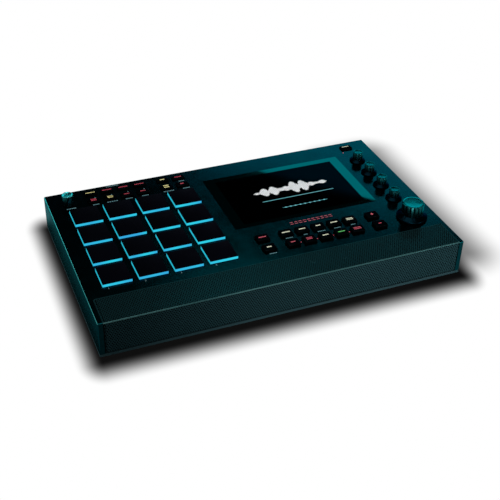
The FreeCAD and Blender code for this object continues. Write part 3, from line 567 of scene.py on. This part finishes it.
def add_prism(shape: Shape, centre: Vector, radius: float, height: float, sides: int, skin: int = 0) -> None:
    """Add an upright prism or disc.

    Args:
        shape: Mesh that receives it.
        centre: Middle of its underside.
        radius: Radius of its corners.
        height: How tall it is.
        sides: Number of sides.
        skin: Material index.
    """
    spot = Matrix.Translation(centre + Vector((0, 0, height / 2)))
    made = bmesh.ops.create_cone(shape, cap_ends=True, segments=sides, radius1=radius, radius2=radius,
                                 depth=height, matrix=spot)["verts"]
    paint(made, skin)


def add_lathe(shape: Shape, outline: list[tuple[float, float]], centre: Point, steps: int) -> None:
    """Turn an outline about an upright axis, in a mesh that holds nothing else.

    Args:
        shape: Mesh that receives the turned form.
        outline: Radius and height of each point, from the top middle to the bottom middle.
        centre: Place of the axis at height 0.
        steps: Steps in the full turn.
    """
    spot = Vector(centre)
    verts = [shape.verts.new(spot + Vector((radius, 0, height))) for radius, height in outline]
    edges = [shape.edges.new(pair) for pair in zip(verts, verts[1:])]
    bmesh.ops.spin(shape, geom=verts + edges, cent=spot, axis=(0, 0, 1), angle=math.tau, steps=steps,
                   use_merge=True, use_duplicate=False)
    bmesh.ops.remove_doubles(shape, verts=shape.verts, dist=MERGE)
    bmesh.ops.recalc_face_normals(shape, faces=shape.faces)


def finish_piece(name: str, shape: Shape, finishes: list[Finish], body: str,
                 replaces: tuple[str, ...] = ()) -> None:
    """Turn a mesh into a dressed piece that rides on a body.

    Args:
        name: Name of the piece.
        shape: Its mesh, which is freed.
        finishes: One finish for each material index.
        body: Body that carries it.
        replaces: Nodes that it stands for.
    """
    mesh = to_mesh(name, shape)
    for finish in finishes:
        mesh.materials.append(finish.material())
    mesh.shade_smooth()
    mesh.set_sharp_from_angle(angle=SMOOTH_ANGLE)
    piece = add_object(name, mesh)
    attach(piece, body)
    if replaces:
        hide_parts(*replaces)


def dress_node(node: str, finish: Finish) -> None:
    """Give a carried-over node its finish.

    Args:
        node: Name of the node.
        finish: Its finish.
    """
    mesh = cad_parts[node].data
    mesh.materials.clear()
    mesh.materials.append(finish.material())


def cap_box(node: str) -> tuple[Vector, Vector]:
    """Corners of a pad's or button's cap, without its hidden flange.

    Args:
        node: Name of the pad or button.

    Returns:
        The cap's lowest and highest corner.
    """
    low, high = node_box(node)
    lip = Vector((CAP_LIP, CAP_LIP, 0))
    return low + lip, high - lip


@dataclass
class Plan:
    """Places on the top panel, measured from the case's front left corner.

    Attributes:
        low, high: Corners of the case's footprint.
        panel: Height of the top panel.
    """

    low: Vector
    high: Vector
    panel: float

    def spot(self, across: float, back: float) -> Vector:
        """Place on the panel.

        Args:
            across: Millimetres from the left side.
            back: Millimetres from the front.

        Returns:
            The place in the frame, in metres.
        """
        return Vector((self.low.x + across * MM, self.low.y + back * MM, self.panel))


class CaseShell:
    """Top case, base, feet, screws and everything behind the rear wall."""

    def build(self) -> None:
        """Dress the carried-over nodes."""
        for node, finish in (("top_case", CASE), ("base_tray", BASE), ("rubber_feet", FOOT),
                             ("case_screws", STEEL), ("circuit_boards", BOARD), ("speaker_drivers", CONE),
                             ("rear_sockets", SOCKET), ("power_button", KEY), ("dial_shaft", STEEL)):
            dress_node(node, finish)
        LOG.info("case dressed")


@dataclass
class SpeakerGrille:
    """Perforated sheet folded from the front face over the front strip of the top.

    Attributes:
        low, high: Lowest and highest corner of the sheet.
        pitch: Hole to hole along a row; the rows are staggered by half of it.
        hole: Radius of a hole.
        pocket: Depth of a hole, down to the dark cloth behind the sheet.
        border: Plain metal round the perforated fields.
        sheet: Thickness of the sheet.
        fold: Outer radius of the fold.
        groove: How far the borders of the front face stand back; they are drawn near black, a painted shadow
            in the gap.
    """

    low: Vector
    high: Vector
    pitch: float = 2.6 * MM
    hole: float = 0.86 * MM
    pocket: float = 0.5 * MM
    border: float = 1.2 * MM
    sheet: float = 1.2 * MM
    fold: float = 1.0 * MM
    groove: float = 0.5 * MM

    def build(self) -> None:
        """Make the two perforated fields and the plain frame with the fold."""
        self._field("grille_front", upright=True)
        self._field("grille_top", upright=False)
        self._frame()

    def _field(self, name: str, upright: bool) -> None:
        """Make one perforated field from a single holed cell.

        Args:
            name: Name of the piece.
            upright: Whether the field is the front face.
        """
        low, high = self.low, self.high
        length = high.x - low.x - 2 * self.border
        width = (high.z - low.z if upright else high.y - low.y) - self.fold - self.border
        across, rows = round(length / self.pitch), round(width / self.pitch / math.sin(math.pi / 3))
        step, rise = length / across, width / rows
        shape = bmesh.new()
        shape.from_mesh(self._cell(step, rise))
        first = shape.verts[:] + shape.edges[:] + shape.faces[:]
        for column in range(1, across):
            copy = bmesh.ops.duplicate(shape, geom=first)["geom"]
            bmesh.ops.translate(shape, vec=(column * step, 0, 0), verts=only_verts(copy))
        row = shape.verts[:] + shape.edges[:] + shape.faces[:]
        for index in range(1, rows):
            copy = bmesh.ops.duplicate(shape, geom=row)["geom"]
            shift = step / 2 if index % 2 else 0.0
            bmesh.ops.translate(shape, vec=(shift, index * rise, 0), verts=only_verts(copy))
        for vert in shape.verts:
            if vert.co.x > length + MERGE:
                vert.co.x = length
        bmesh.ops.remove_doubles(shape, verts=shape.verts, dist=MERGE)
        bmesh.ops.dissolve_degenerate(shape, dist=MERGE, edges=shape.edges)
        corner = Vector((low.x + self.border, low.y + self.fold, high.z))
        place = Matrix.Translation(corner)
        if upright:
            corner = Vector((low.x + self.border, low.y, low.z + self.border))
            place = Matrix.Translation(corner) @ Matrix.Rotation(math.pi / 2, 4, "X")
        bmesh.ops.transform(shape, matrix=place, verts=shape.verts)
        finish_piece(name, shape, [MESH, CLOTH_AND_GAP_SHADE], CASE_BODY, ("speaker_grille",))
        LOG.info("%s: %d by %d holes", name, across, rows)

    def _cell(self, step: float, rise: float) -> bpy.types.Mesh:
        """One cell of the sheet: a face with a round hole, its wall and the cloth behind it.

        Args:
            step: Width of the cell.
            rise: Height of the cell.

        Returns:
            The cell's mesh, from its low corner, with its face at height 0.
        """
        shape = bmesh.new()
        ring = bmesh.ops.create_circle(shape, segments=8, radius=self.hole)["verts"]
        edges = edges_of(ring)
        outer = bmesh.ops.extrude_edge_only(shape, edges=edges)["geom"]
        reach = Vector((step / 2, rise / 2, 0))
        for vert in only_verts(outer):
            angle = round(math.atan2(vert.co.y, vert.co.x) / EIGHTH_TURN) * EIGHTH_TURN
            vert.co = Vector((round(math.cos(angle)) * reach.x, round(math.sin(angle)) * reach.y, 0))
        inner = bmesh.ops.extrude_edge_only(shape, edges=edges)["geom"]
        wall = only_verts(inner)
        bmesh.ops.translate(shape, vec=(0, 0, -self.pocket), verts=wall)
        foot = [edge for edge in shape.edges if all(vert in wall for vert in edge.verts)]
        bmesh.ops.contextual_create(shape, geom=foot)
        for face in shape.faces:
            face.material_index = int(face.calc_center_median().z < -self.pocket / 4)
        bmesh.ops.recalc_face_normals(shape, faces=shape.faces)
        flat = max(shape.faces, key=lambda face: abs(face.normal.z))
        if flat.normal.z < 0:
            bmesh.ops.reverse_faces(shape, faces=shape.faces)
        bmesh.ops.translate(shape, vec=reach, verts=shape.verts)
        return to_mesh("grille_cell", shape)

    def _frame(self) -> None:
        """Make the fold and the borders round both fields: the front borders are drawn near black, a painted
        shadow in the gap, and the fold band lighter, a painted highlight.
        """
        shape = bmesh.new()
        low, high, border, fold = self.low, self.high, self.border, self.fold
        front, back = low.y + self.groove, low.y + self.sheet
        verts = [shape.verts.new((x, low.y, high.z - fold)) for x in (low.x, high.x)]
        line = shape.edges.new(verts)
        centre = (0, low.y + fold, high.z - fold)
        bmesh.ops.spin(shape, geom=verts + [line], cent=centre, axis=(1, 0, 0), angle=-math.pi / 2, steps=8,
                       use_duplicate=False)
        for face in shape.faces:
            middle = face.calc_center_median()
            if face.normal.dot(middle - Vector((middle.x, *centre[1:]))) < 0:
                face.normal_flip()
            # The fold band takes the lighter fold finish: a painted highlight.
            face.material_index = 2
        under = high.z - self.sheet
        # The front borders, here and below, are set back by the groove and drawn in the near-black cloth
        # finish: a painted shadow in the gap.
        for x in (low.x, high.x - border):
            add_block(shape, (x, low.y + fold, under), (x + border, high.y, high.z))
            add_block(shape, (x, front, low.z), (x + border, back, high.z - fold), skin=1)
        add_block(shape, (low.x, high.y - border, under), (high.x, high.y, high.z))
        add_block(shape, (low.x, front, low.z), (high.x, back, low.z + border), skin=1)
        finish_piece("grille_frame", shape, [MESH, CLOTH_AND_GAP_SHADE, FOLD_HIGHLIGHT], CASE_BODY,
                     ("speaker_grille",))


@dataclass
class PadGrid:
    """Sixteen pads with light round their sides.

    Attributes:
        plan: Places on the panel.
        count: Number of pads.
        numbered: Number of pads in the front row, which have a number.
        sunk: How far a pad's body reaches below the panel.
        rim: Height of the dark edge above the lit band.
        rounding: Rounded edges of the dark top, as a part of the rim.
        inset: How far the lit band stands back.
        guide_bevel: Rounded edges of the lit band.
        number_spot: Middle of a number, from the pad's front left corner.
        number_height: Height of its figure.
    """

    plan: Plan
    count: int = 16
    numbered: int = 4
    sunk: float = 1.6 * MM
    rim: float = 0.3 * MM
    rounding: float = 0.45
    inset: float = 0.05 * MM
    guide_bevel: float = 0.2 * MM
    number_spot: tuple[float, float] = (5.2 * MM, -3.6 * MM)
    number_height: float = 2.6 * MM

    def build(self) -> None:
        """Make every pad and the printed numbers before the front row."""
        for index in range(1, self.count + 1):
            self._pad(f"pad_{index}")
        across, back = self.number_spot
        for index in range(1, self.numbered + 1):
            low, _ = cap_box(f"pad_{index}")
            spot = Vector((low.x + across, low.y + back, self.plan.panel))
            print_number(f"pad_number_{index}", str(index), spot, self.number_height)
        LOG.info("pads: %d", self.count)

    def _pad(self, node: str) -> None:
        """Make one pad: a lit light guide under a dark top.

        Args:
            node: Name of the pad's node and body.
        """
        low, high = cap_box(node)
        bottom, split, inset = self.plan.panel - self.sunk, high.z - self.rim, self.inset
        shape = bmesh.new()
        add_block(shape, (low.x + inset, low.y + inset, bottom), (high.x - inset, high.y - inset, split),
                  self.guide_bevel, 1)
        add_block(shape, (low.x, low.y, split), (high.x, high.y, high.z), self.rim * self.rounding)
        finish_piece(node + "_cap", shape, [PAD_TOP, PAD_GLOW], node, (node,))


def print_number(name: str, words: str, spot: Vector, height: float) -> None:
    """Print a plain number on the panel.

    Args:
        name: Name of the piece.
        words: The number.
        spot: Its middle, on the panel.
        height: Height of the figures.
    """
    curve = bpy.data.curves.new(name, "FONT")
    curve.body = words
    curve.size = height * FIGURE_SIZE
    curve.align_x = "CENTER"
    curve.align_y = "CENTER"
    holder = add_object(name + "_curve", curve)
    bpy.context.view_layer.update()
    mesh = bpy.data.meshes.new_from_object(holder.evaluated_get(bpy.context.evaluated_depsgraph_get()))
    bpy.data.objects.remove(holder)
    shape = bmesh.new()
    shape.from_mesh(mesh)
    bmesh.ops.translate(shape, vec=spot + Vector((0, 0, PRINT_GAP)), verts=shape.verts)
    finish_piece(name, shape, [PRINT], CASE_BODY)


def add_dashes(shape: Shape, spot: Vector, width: float, height: float, parts: int,
               thick: float = PRINT_RISE, skin: int = 0) -> None:
    """Add a row of short flat dashes.

    Args:
        shape: Mesh that receives them.
        spot: Middle of the row, on the surface that carries it.
        width: Width of the whole row.
        height: Height of a dash.
        parts: Number of dashes.
        thick: How far they stand up.
        skin: Material index.
    """
    share = width / parts
    for index in range(parts):
        left = spot.x - width / 2 + index * share
        add_block(shape, (left, spot.y - height / 2, spot.z),
                  (left + share * DASH_FILL, spot.y + height / 2, spot.z + thick), skin=skin)


def add_sign(shape: Shape, mark: Mark, spot: Vector, skin: int) -> None:
    """Add a plain sign to a button's top.

    Args:
        shape: Mesh that receives it.
        mark: Which sign, and its size.
        spot: Middle of the button's top.
        skin: Material index.
    """
    thick = SIGN_RISE
    width, height = mark.width * MM, mark.height * MM
    arm, half = width / 2, height / 2
    if mark.sign in (Sign.ROW, Sign.ROWS):
        parts = max(2, round(mark.width / DASH_PITCH))
        for side in (0,) if mark.sign is Sign.ROW else (-1, 1):
            row = spot + Vector((0, side * ROW_GAP * height, 0))
            add_dashes(shape, row, width, height, parts, thick, skin)
    else:
        add_block(shape, (spot.x - arm, spot.y - half, spot.z), (spot.x + arm, spot.y + half, spot.z + thick),
                  skin=skin)
    if mark.sign is Sign.PLUS:
        for low, high in ((-arm, -half), (half, arm)):
            add_block(shape, (spot.x - half, spot.y + low, spot.z),
                      (spot.x + half, spot.y + high, spot.z + thick), skin=skin)
    if mark.arrow:
        add_prism(shape, spot + ARROW_SPOT, ARROW_RADIUS, thick, 3, skin=skin + 1)


@dataclass
class KeyField:
    """Every push button of the top panel, with its sign and printed mark.

    Attributes:
        plan: Places on the panel.
        sunk: How far a cap reaches below the panel.
        bevel: Rounded edges of a cap.
    """

    plan: Plan
    sunk: float = 1.8 * MM
    bevel: float = 0.7 * MM

    def build(self) -> None:
        """Make the buttons, then the marks printed beside them."""
        signs = self._signs()
        for node, mark in signs.items():
            self._key(node, mark)
        self._marks()
        LOG.info("buttons: %d", len(signs))

    def _signs(self) -> dict[str, Mark]:
        """Which sign and which light each button has.

        Returns:
            The mark by node.
        """
        row, rows = Sign.ROW, Sign.ROWS
        signs = {}
        for i in range(1, 5):
            signs[f"bank_button_{i}"] = Mark(row, LIT_AMBER if i == 1 else LIT_RED, 11.0, 1.2)
        for i in range(1, 5):
            lamp = LIT_AMBER if i == 2 else LIT_RED
            signs[f"mode_button_{i}"] = Mark(rows if i < 3 else row, lamp, 6.4, 1.3, arrow=True)
        signs |= {"edit_button_1": Mark(row, LIT_AMBER, 5.6), "edit_button_2": Mark(row, LIT_RED, 8.4, 1.2),
                  "edit_button_3": Mark(rows, LIT_AMBER, 6.4, 1.9), "edit_button_4": Mark(row, LIT_RED, 4.2)}
        for i, width in enumerate((9.6, 7.8, 5.6, 8.6), start=1):
            signs[f"function_button_{i}"] = Mark(row, LIT_WHITE, width, 1.5)
        signs |= {"function_button_5": Mark(rows, LIT_WHITE, 7.8, 1.2),
                  "record_button": Mark(row, LIT_RED, 5.4), "overdub_button": Mark(rows, LIT_RED, 7.0, 1.2),
                  "stop_button": Mark(row, LIT_WHITE, 7.0), "play_button": Mark(row, LIT_GREEN, 8.2),
                  "restart_button": Mark(rows, LIT_RED, 8.8, 1.2),
                  "shift_button": Mark(row, LIT_RED, 8.8, 1.5), "tap_button": Mark(row, LIT_WHITE, 5.4),
                  "plus_button": Mark(Sign.PLUS, LIT_RED, 3.4, 0.9),
                  "minus_button": Mark(Sign.MINUS, LIT_RED, 3.4, 0.9),
                  "select_button": Mark(row, LIT_WHITE, 9.0, 1.1, lift=1.4)}
        return signs

    def _key(self, node: str, mark: Mark) -> None:
        """Make one button.

        Args:
            node: Name of the button's node and body.
            mark: Sign on its top.
        """
        low, high = cap_box(node)
        shape = bmesh.new()
        add_block(shape, (low.x, low.y, self.plan.panel - self.sunk), tuple(high), self.bevel)
        middle = Vector(((low.x + high.x) / 2, (low.y + high.y) / 2, high.z))
        add_sign(shape, mark, middle + Vector((0, mark.lift * MM, 0)), 1)
        finish_piece(node + "_cap", shape, [KEY, mark.lamp, LABEL], node, (node,))

    def _marks(self) -> None:
        """Print the plain marks between and beside the buttons; the marks glow in the label finish, painted
        light on print.
        """
        shape = bmesh.new()
        # Across, back and width in millimetres, and the number of dashes.
        marks = [(204.5, 50.6, 8.6, 5), (80.0, 239.6, 15.0, 8), (24.4, 207.4, 11.0, 6),
                 (159.8, 223.4, 7.0, 4), (139.0, 206.6, 13.0, 7), (160.4, 206.6, 8.6, 5)]
        marks += [(52.5 + 19.4 * i, 206.8, (7.6, 13.0, 8.6, 8.0)[i], 5) for i in range(4)]
        marks += [(232.2 + 19.4 * i, 71.2, (8.6, 4.8, 9.6, 8.0, 5.6)[i], 5) for i in range(5)]
        for across, back, width, parts in marks:
            add_dashes(shape, self.plan.spot(across, back), width * MM, 1.3 * MM, parts)
        finish_piece("panel_marks", shape, [LABEL], CASE_BODY)
        ticks = bmesh.new()
        # The red ticks stand for printed lettering and are drawn in the lit red finish, so they glow: painted
        # light on print.
        for side in (-1.6, 1.6):
            add_dashes(ticks, self.plan.spot(270.5, 96.0 + side), 53.0 * MM, 0.6 * MM, 10)
        add_prism(ticks, self.plan.spot(371.0, 219.0), 0.8 * MM, PRINT_RISE, 12)
        for index in range(4):
            add_prism(ticks, self.plan.spot(240.7 + 19.4 * index, 59.3), 0.6 * MM, PRINT_RISE, 12)
        finish_piece("red_ticks", ticks, [LIT_RED], CASE_BODY)


@dataclass
class Knob:
    """A turned knob with grip flutes and a dished top.

    Attributes:
        node: Its node and body.
        cap: Radius of the cap.
        skirt: Radius of the skirt, or 0 for none.
        skirt_rise: Height of the skirt above the knob's underside.
        bottom: Height of that underside.
        flutes: Number of flutes.
        flute: Depth of a flute.
        dish: Depth of the dished top.
        end: Finish of the dished top.
        steps: Steps of the turned form.
        bevel: Rounding of the cap's upper edge.
        slack: How exactly a point has to lie on the grip to be pressed in.
    """

    node: str
    cap: float
    skirt: float
    skirt_rise: float
    bottom: float
    flutes: int
    flute: float
    dish: float
    end: Finish
    steps: int = 144
    bevel: float = 0.8 * MM
    slack: float = 0.05 * MM

    def build(self) -> None:
        """Make the knob above the panel."""
        low, high = node_box(self.node)
        centre = Vector(((low.x + high.x) / 2, (low.y + high.y) / 2, 0.0))
        cap, rise, bevel = self.cap, self.skirt_rise, self.bevel
        bottom, top = self.bottom, high.z
        floor = top - self.dish
        # Radius and height of each point: the dished top, its rim, then the grip and the skirt.
        outline = [(0.0, floor), (cap * 0.62, floor), (cap * 0.78, top - self.dish * 0.35),
                   (cap - bevel * 1.3, top), (cap - bevel * 0.5, top - bevel * 0.2), (cap, top - bevel)]
        grip_low = bottom + 0.3 * MM
        if self.skirt:
            grip_low = bottom + rise * 1.4
            outline += [(cap, grip_low), (cap + rise * 0.5, bottom + rise),
                        (self.skirt - 0.4 * MM, bottom + rise * 0.55), (self.skirt, bottom + rise * 0.3),
                        (self.skirt, bottom)]
        else:
            outline += [(cap, grip_low), (cap - 0.3 * MM, bottom)]
        outline.append((0.0, bottom))
        shape = bmesh.new()
        add_lathe(shape, outline, centre, self.steps)
        self._cut_flutes(shape, centre, grip_low, top - bevel * 0.9)
        for face in shape.faces:
            middle = face.calc_center_median()
            if (middle.xy - centre.xy).length < cap * 0.97 and middle.z > floor - 0.1 * MM:
                face.material_index = 1
            elif middle.z < grip_low:
                face.material_index = 2
        finish_piece(self.node + "_cap", shape, [KNOB, self.end, SKIRT], self.node, (self.node,))

    def _cut_flutes(self, shape: Shape, centre: Vector, low: float, high: float) -> None:
        """Press the grip flutes into the cap's side.

        Args:
            shape: The turned knob.
            centre: Place of its axis.
            low: Lowest height of the grip.
            high: Highest height of the grip.
        """
        for vert in shape.verts:
            away = vert.co.xy - centre.xy
            on_grip = low - self.slack < vert.co.z < high + self.slack
            if on_grip and abs(away.length - self.cap) <= self.slack:
                turn = math.atan2(away.y, away.x) * self.flutes
                depth = self.flute * max(0.0, math.cos(turn)) ** 0.7
                vert.co.xy = centre.xy + away.normalized() * (away.length - depth)


@dataclass
class Controls:
    """Volume knob, small knobs and large dial.

    Attributes:
        plan: Places on the panel.
    """

    plan: Plan

    def build(self) -> None:
        """Make every knob."""
        panel = self.plan.panel
        low, dial_low = panel + 0.5 * MM, panel + 1.0 * MM
        knobs = [Knob(f"control_knob_{index}", 6.0 * MM, 9.6 * MM, 1.9 * MM, low, 12, 0.2 * MM, 0.5 * MM,
                      KNOB_END) for index in range(1, 5)]
        knobs += [Knob("volume_knob", 6.2 * MM, 0.0, 0.0, low, 12, 0.3 * MM, 0.5 * MM, VOLUME_END_PAINTED_SHEEN),
                  Knob("data_dial", 12.3 * MM, 17.5 * MM, 3.2 * MM, dial_low, 16, 0.45 * MM, 0.35 * MM,
                       DIAL_END_PAINTED_SHEEN, steps=192)]
        for knob in knobs:
            knob.build()
        LOG.info("knobs: %d", len(knobs))


@dataclass
class Display:
    """Touch display: glass, lit area and a plain sound wave.

    Attributes:
        plan: Places on the panel.
        top: Height of the glass.
        lit_low, lit_high: Corners of the lit area on the panel, in millimetres.
        wave_span: Left and right end of the wave, in millimetres.
        wave_back: Its middle line, in millimetres.
        bars: Number of bars in the wave.
        fill: Half a bar's width, as a part of its share.
        ink: Heights above the glass that the bright shapes lie between.
    """

    plan: Plan
    top: float
    lit_low: tuple[float, float] = (195.0, 111.0)
    lit_high: tuple[float, float] = (345.0, 205.0)
    wave_span: tuple[float, float] = (228.0, 322.0)
    wave_back: float = 165.0
    bars: int = 46
    fill: float = 0.32
    ink: tuple[float, float] = (0.02 * MM, 0.05 * MM)

    def build(self) -> None:
        """Dress the glass and draw the picture on it."""
        dress_node("touch_display", BEZEL)
        shape = bmesh.new()
        low = self.plan.spot(*self.lit_low)
        high = self.plan.spot(*self.lit_high)
        add_block(shape, (low.x, low.y, self.top - 0.1 * MM), (high.x, high.y, self.top + self.ink[0]))
        finish_piece("display_area", shape, [GLASS], CASE_BODY)
        self._wave()
        self._lines()
        LOG.info("display dressed")

    def _strip(self, shape: Shape, across: float, back: float, half: float, tall: float) -> None:
        """Add a bright rectangle to the picture.

        Args:
            shape: Mesh that receives it.
            across, back: Its middle on the panel, in millimetres.
            half, tall: Half its width and half its height, in millimetres.
        """
        spot = self.plan.spot(across, back)
        add_block(shape, (spot.x - half * MM, spot.y - tall * MM, self.top + self.ink[0]),
                  (spot.x + half * MM, spot.y + tall * MM, self.top + self.ink[1]))

    def _wave(self) -> None:
        """Draw the sound wave, bar by bar."""
        shape = bmesh.new()
        left, right = self.wave_span
        share = (right - left) / self.bars
        for index in range(self.bars):
            t = index / (self.bars - 1)
            swell = math.sin(math.pi * t) ** 0.6
            tall = (2.0 + 11.0 * abs(math.sin(7.0 * t + 0.4) * math.cos(23.0 * t))) * swell + 0.5
            self._strip(shape, left + (index + 0.5) * share, self.wave_back, share * self.fill, tall)
        finish_piece("sound_wave", shape, [SCREEN_WHITE], CASE_BODY)

    def _lines(self) -> None:
        """Draw the thin lines under the wave, and the dots on the lower one."""
        lines = bmesh.new()
        for back, half, tall in ((146.5, 45.0, 0.45), (128.0, 28.0, 0.25)):
            self._strip(lines, 277.0, back, half, tall)
        for dot in range(9):
            spot = self.plan.spot(253.0 + 6.0 * dot, 128.0)
            add_prism(lines, Vector((spot.x, spot.y, self.top + self.ink[0])), 1.1 * MM, 0.04 * MM, 16)
        finish_piece("screen_lines", lines, [SCREEN_TEAL], CASE_BODY)


@dataclass
class Studio:
    """Camera, floor, lamps and world.

    Attributes:
        plan: Places on the panel.
        azimuth, elevation, roll: Where the camera stands and how it leans, in degrees.
        aim: Place that it looks at, on the panel, in millimetres.
        distance: Camera to that place, in metres.
        lens: Focal length in millimetres.
        sensor: Width of the sensor in millimetres.
        floor_size: Radius of the floor and height of its rim.
    """

    plan: Plan
    azimuth: float = -22.971
    elevation: float = 35.3985
    roll: float = 1.7414
    aim: tuple[float, float] = (183.05, 64.49)
    distance: float = 1.00937
    lens: float = 68.23
    sensor: float = 36.0
    floor_size: tuple[float, float] = (6.0, 2.2)

    def build(self) -> None:
        """Set up everything round the object."""
        self._camera()
        self._floor()
        self._lamps()
        self._world()
        bpy.context.scene.view_settings.view_transform = "Standard"

    def _axes(self) -> Matrix:
        """The camera's turn: right, up and backwards as columns."""
        turn, tilt, lean = (math.radians(value) for value in (self.azimuth, self.elevation, self.roll))
        back = Vector((math.sin(turn) * math.cos(tilt), -math.cos(turn) * math.cos(tilt), math.sin(tilt)))
        right = Vector((math.cos(turn), math.sin(turn), 0.0))
        up = back.cross(right)
        leaned_right = right * math.cos(lean) + up * math.sin(lean)
        leaned_up = up * math.cos(lean) - right * math.sin(lean)
        return Matrix((leaned_right, leaned_up, back)).transposed()

    def _camera(self) -> None:
        """Make the camera at the photograph's viewing angle."""
        axes = self._axes()
        lens = bpy.data.cameras.new("camera")
        lens.lens = self.lens
        lens.sensor_width = self.sensor
        camera = add_object("camera", lens)
        spot = self.plan.spot(*self.aim) + axes.col[2] * self.distance
        camera.matrix_world = Matrix.Translation(spot) @ axes.to_4x4()
        bpy.context.scene.camera = camera

    def _floor(self) -> None:
        """Make a pale floor with an upturned rim, white for the camera away from the shadow."""
        shape = bmesh.new()
        ring = bmesh.ops.create_circle(shape, cap_ends=True, segments=64, radius=self.floor_size[0])["verts"]
        raised = bmesh.ops.extrude_edge_only(shape, edges=edges_of(ring))["geom"]
        bmesh.ops.translate(shape, vec=(0, 0, self.floor_size[1]), verts=only_verts(raised))
        floor = add_object("floor", to_mesh("floor", shape))
        material = bpy.data.materials.new("pale_floor")
        material.use_nodes = True
        tree = material.node_tree
        shader = tree.nodes["Principled BSDF"]
        set_inputs(tree, shader, {"Base Color": (0.5, 0.5, 0.5, 1.0), "Roughness": 0.9,
                                  "Specular IOR Level": 0.1})
        shown = add_node(tree, "ShaderNodeEmission", {"Color": self._contact_shade(tree)})
        path = add_node(tree, "ShaderNodeLightPath")
        seen = path.outputs["Is Camera Ray"]
        for ray in ("Is Glossy Ray", "Is Transmission Ray"):
            seen = calculate(tree, "MAXIMUM", seen, path.outputs[ray])
        mix = add_node(tree, "ShaderNodeMixShader", {"Fac": seen, 1: shader.outputs["BSDF"],
                                                     2: shown.outputs["Emission"]})
        set_inputs(tree, tree.nodes["Material Output"], {"Surface": mix.outputs["Shader"]})
        floor.data.materials.append(material)

    def _contact_shade(self, tree: Tree) -> Socket:
        """White away from the object, dark where the case stands close above the floor.

        Args:
            tree: The floor material's nodes.

        Returns:
            The shade by distance from the case's outline.
        """
        low, high = self.plan.low, self.plan.high
        # The first follows the footprint, the second lies to the right of it and behind.
        close = self._shade(tree, Vector((low.x + 2.3 * MM, low.y - 1.0 * MM, 0)),
                            high + Vector((2.9 * MM, 0, 0)), (29.0, 36.7), 1.6, 0.036)
        wide = self._shade(tree, Vector((high.x - 20.0 * MM, low.y + 36.0 * MM, 0)),
                           high + Vector((31.0 * MM, 34.0 * MM, 0)), (56.0, 56.0), 1.0, 0.22)
        return calculate(tree, "MULTIPLY", close, wide)

    def _shade(self, tree: Tree, low: Vector, high: Vector, reach: tuple[float, float], power: float,
               dark: float) -> Socket:
        """Shade that clears with the distance from a rectangle.

        Args:
            tree: The floor material's nodes.
            low: Front left corner of the rectangle.
            high: Rear right corner of the rectangle.
            reach: Distance where it is clear, along X and Y, in millimetres.
            power: Power that keeps the near part dark.
            dark: Value inside the rectangle, before the power.

        Returns:
            The shade, 1 where it is clear.
        """
        half, middle = (high - low) / 2, (high + low) / 2
        value = add_node(tree, "ShaderNodeTexCoord").outputs["Object"]
        for operation, vector in (("SUBTRACT", (middle.x, middle.y, 0.0)), ("ABSOLUTE", None),
                                  ("SUBTRACT", (half.x, half.y, 0.0)), ("MAXIMUM", (0.0, 0.0, 0.0)),
                                  ("MULTIPLY", (1 / reach[0] / MM, 1 / reach[1] / MM, 0.0)),
                                  ("LENGTH", None)):
            inputs = {0: value, 1: vector} if vector else {0: value}
            step = add_node(tree, "ShaderNodeVectorMath", inputs, operation=operation)
            value = step.outputs["Value" if operation == "LENGTH" else "Vector"]
        return calculate(tree, "POWER", remap(tree, value, end=(dark, 1.0), bend="SMOOTHSTEP"), power)

    def _lamp(self, name: str, spot: Point, aim: Point, size: tuple[float, float], radiance: float,
              lean: float = 0.0) -> None:
        """Add a soft rectangular lamp.

        Args:
            name: Name of the lamp.
            spot: Where it hangs.
            aim: Where it points.
            size: Width and height.
            radiance: How bright its face is, where 1 is white.
            lean: Turn about its own axis, in degrees.
        """
        light = bpy.data.lights.new(name, "AREA")
        light.shape = "RECTANGLE"
        light.size, light.size_y = size
        light.energy = radiance * math.pi * size[0] * size[1]
        lamp = add_object(name, light)
        lamp.location = spot
        facing = (Vector(spot) - Vector(aim)).to_track_quat("Z", "Y")
        lamp.rotation_euler = (facing @ Quaternion((0, 0, 1), math.radians(lean))).to_euler()

    def _lamps(self) -> None:
        """Hang the soft lamps."""
        centre = (0.05, 0.0, 0.05)
        self._lamp("overhead", (-0.15, -0.05, 1.2), centre, (0.9, 0.9), 4.0)
        self._lamp("rear_softbox", (0.851, 1.358, 0.66), centre, (0.82, 0.55), 3.2, lean=-8.5)
        self._lamp("rear_fill", (0.42, 1.0, 1.155), centre, (0.32, 0.25), 4.0)
        self._lamp("left_softbox", (-0.9, 0.35, 0.42), (-0.2, 0.0, 0.03), (0.6, 0.4), 1.2)
        self._lamp("rim_softbox", (-0.78, 1.24, 0.43), (-0.2, 0.0, 0.04), (0.4, 0.36), 4.0)
        self._lamp("front_strip", (0.43, -0.45, 0.18), (0.73, 0.50, 0.03), (0.05, 0.26), 36.0)
        self._lamp("front_fill", (-0.02, -0.42, 0.16), (0.43, -0.21, 0.085), (0.20, 0.25), 7.0)

    def _world(self) -> None:
        """Give an even, weak light from all round."""
        world = bpy.data.worlds.new("studio")
        world.use_nodes = True
        set_inputs(world.node_tree, world.node_tree.nodes["Background"],
                   {"Color": (1.0, 1.0, 1.0, 1.0), "Strength": 0.03})
        bpy.context.scene.world = world


def main() -> None:
    """Build the studio and every sub-assembly, in order."""
    logging.basicConfig(level=logging.INFO, format="%(message)s")
    plan = Plan(*node_box("base_tray"), node_box("top_case")[1].z)
    Studio(plan).build()
    for part in (CaseShell(), SpeakerGrille(*node_box("speaker_grille")), PadGrid(plan), KeyField(plan),
                 Controls(plan), Display(plan, node_box("touch_display")[1].z)):
        part.build()


if __name__ == "__main__":
    main()
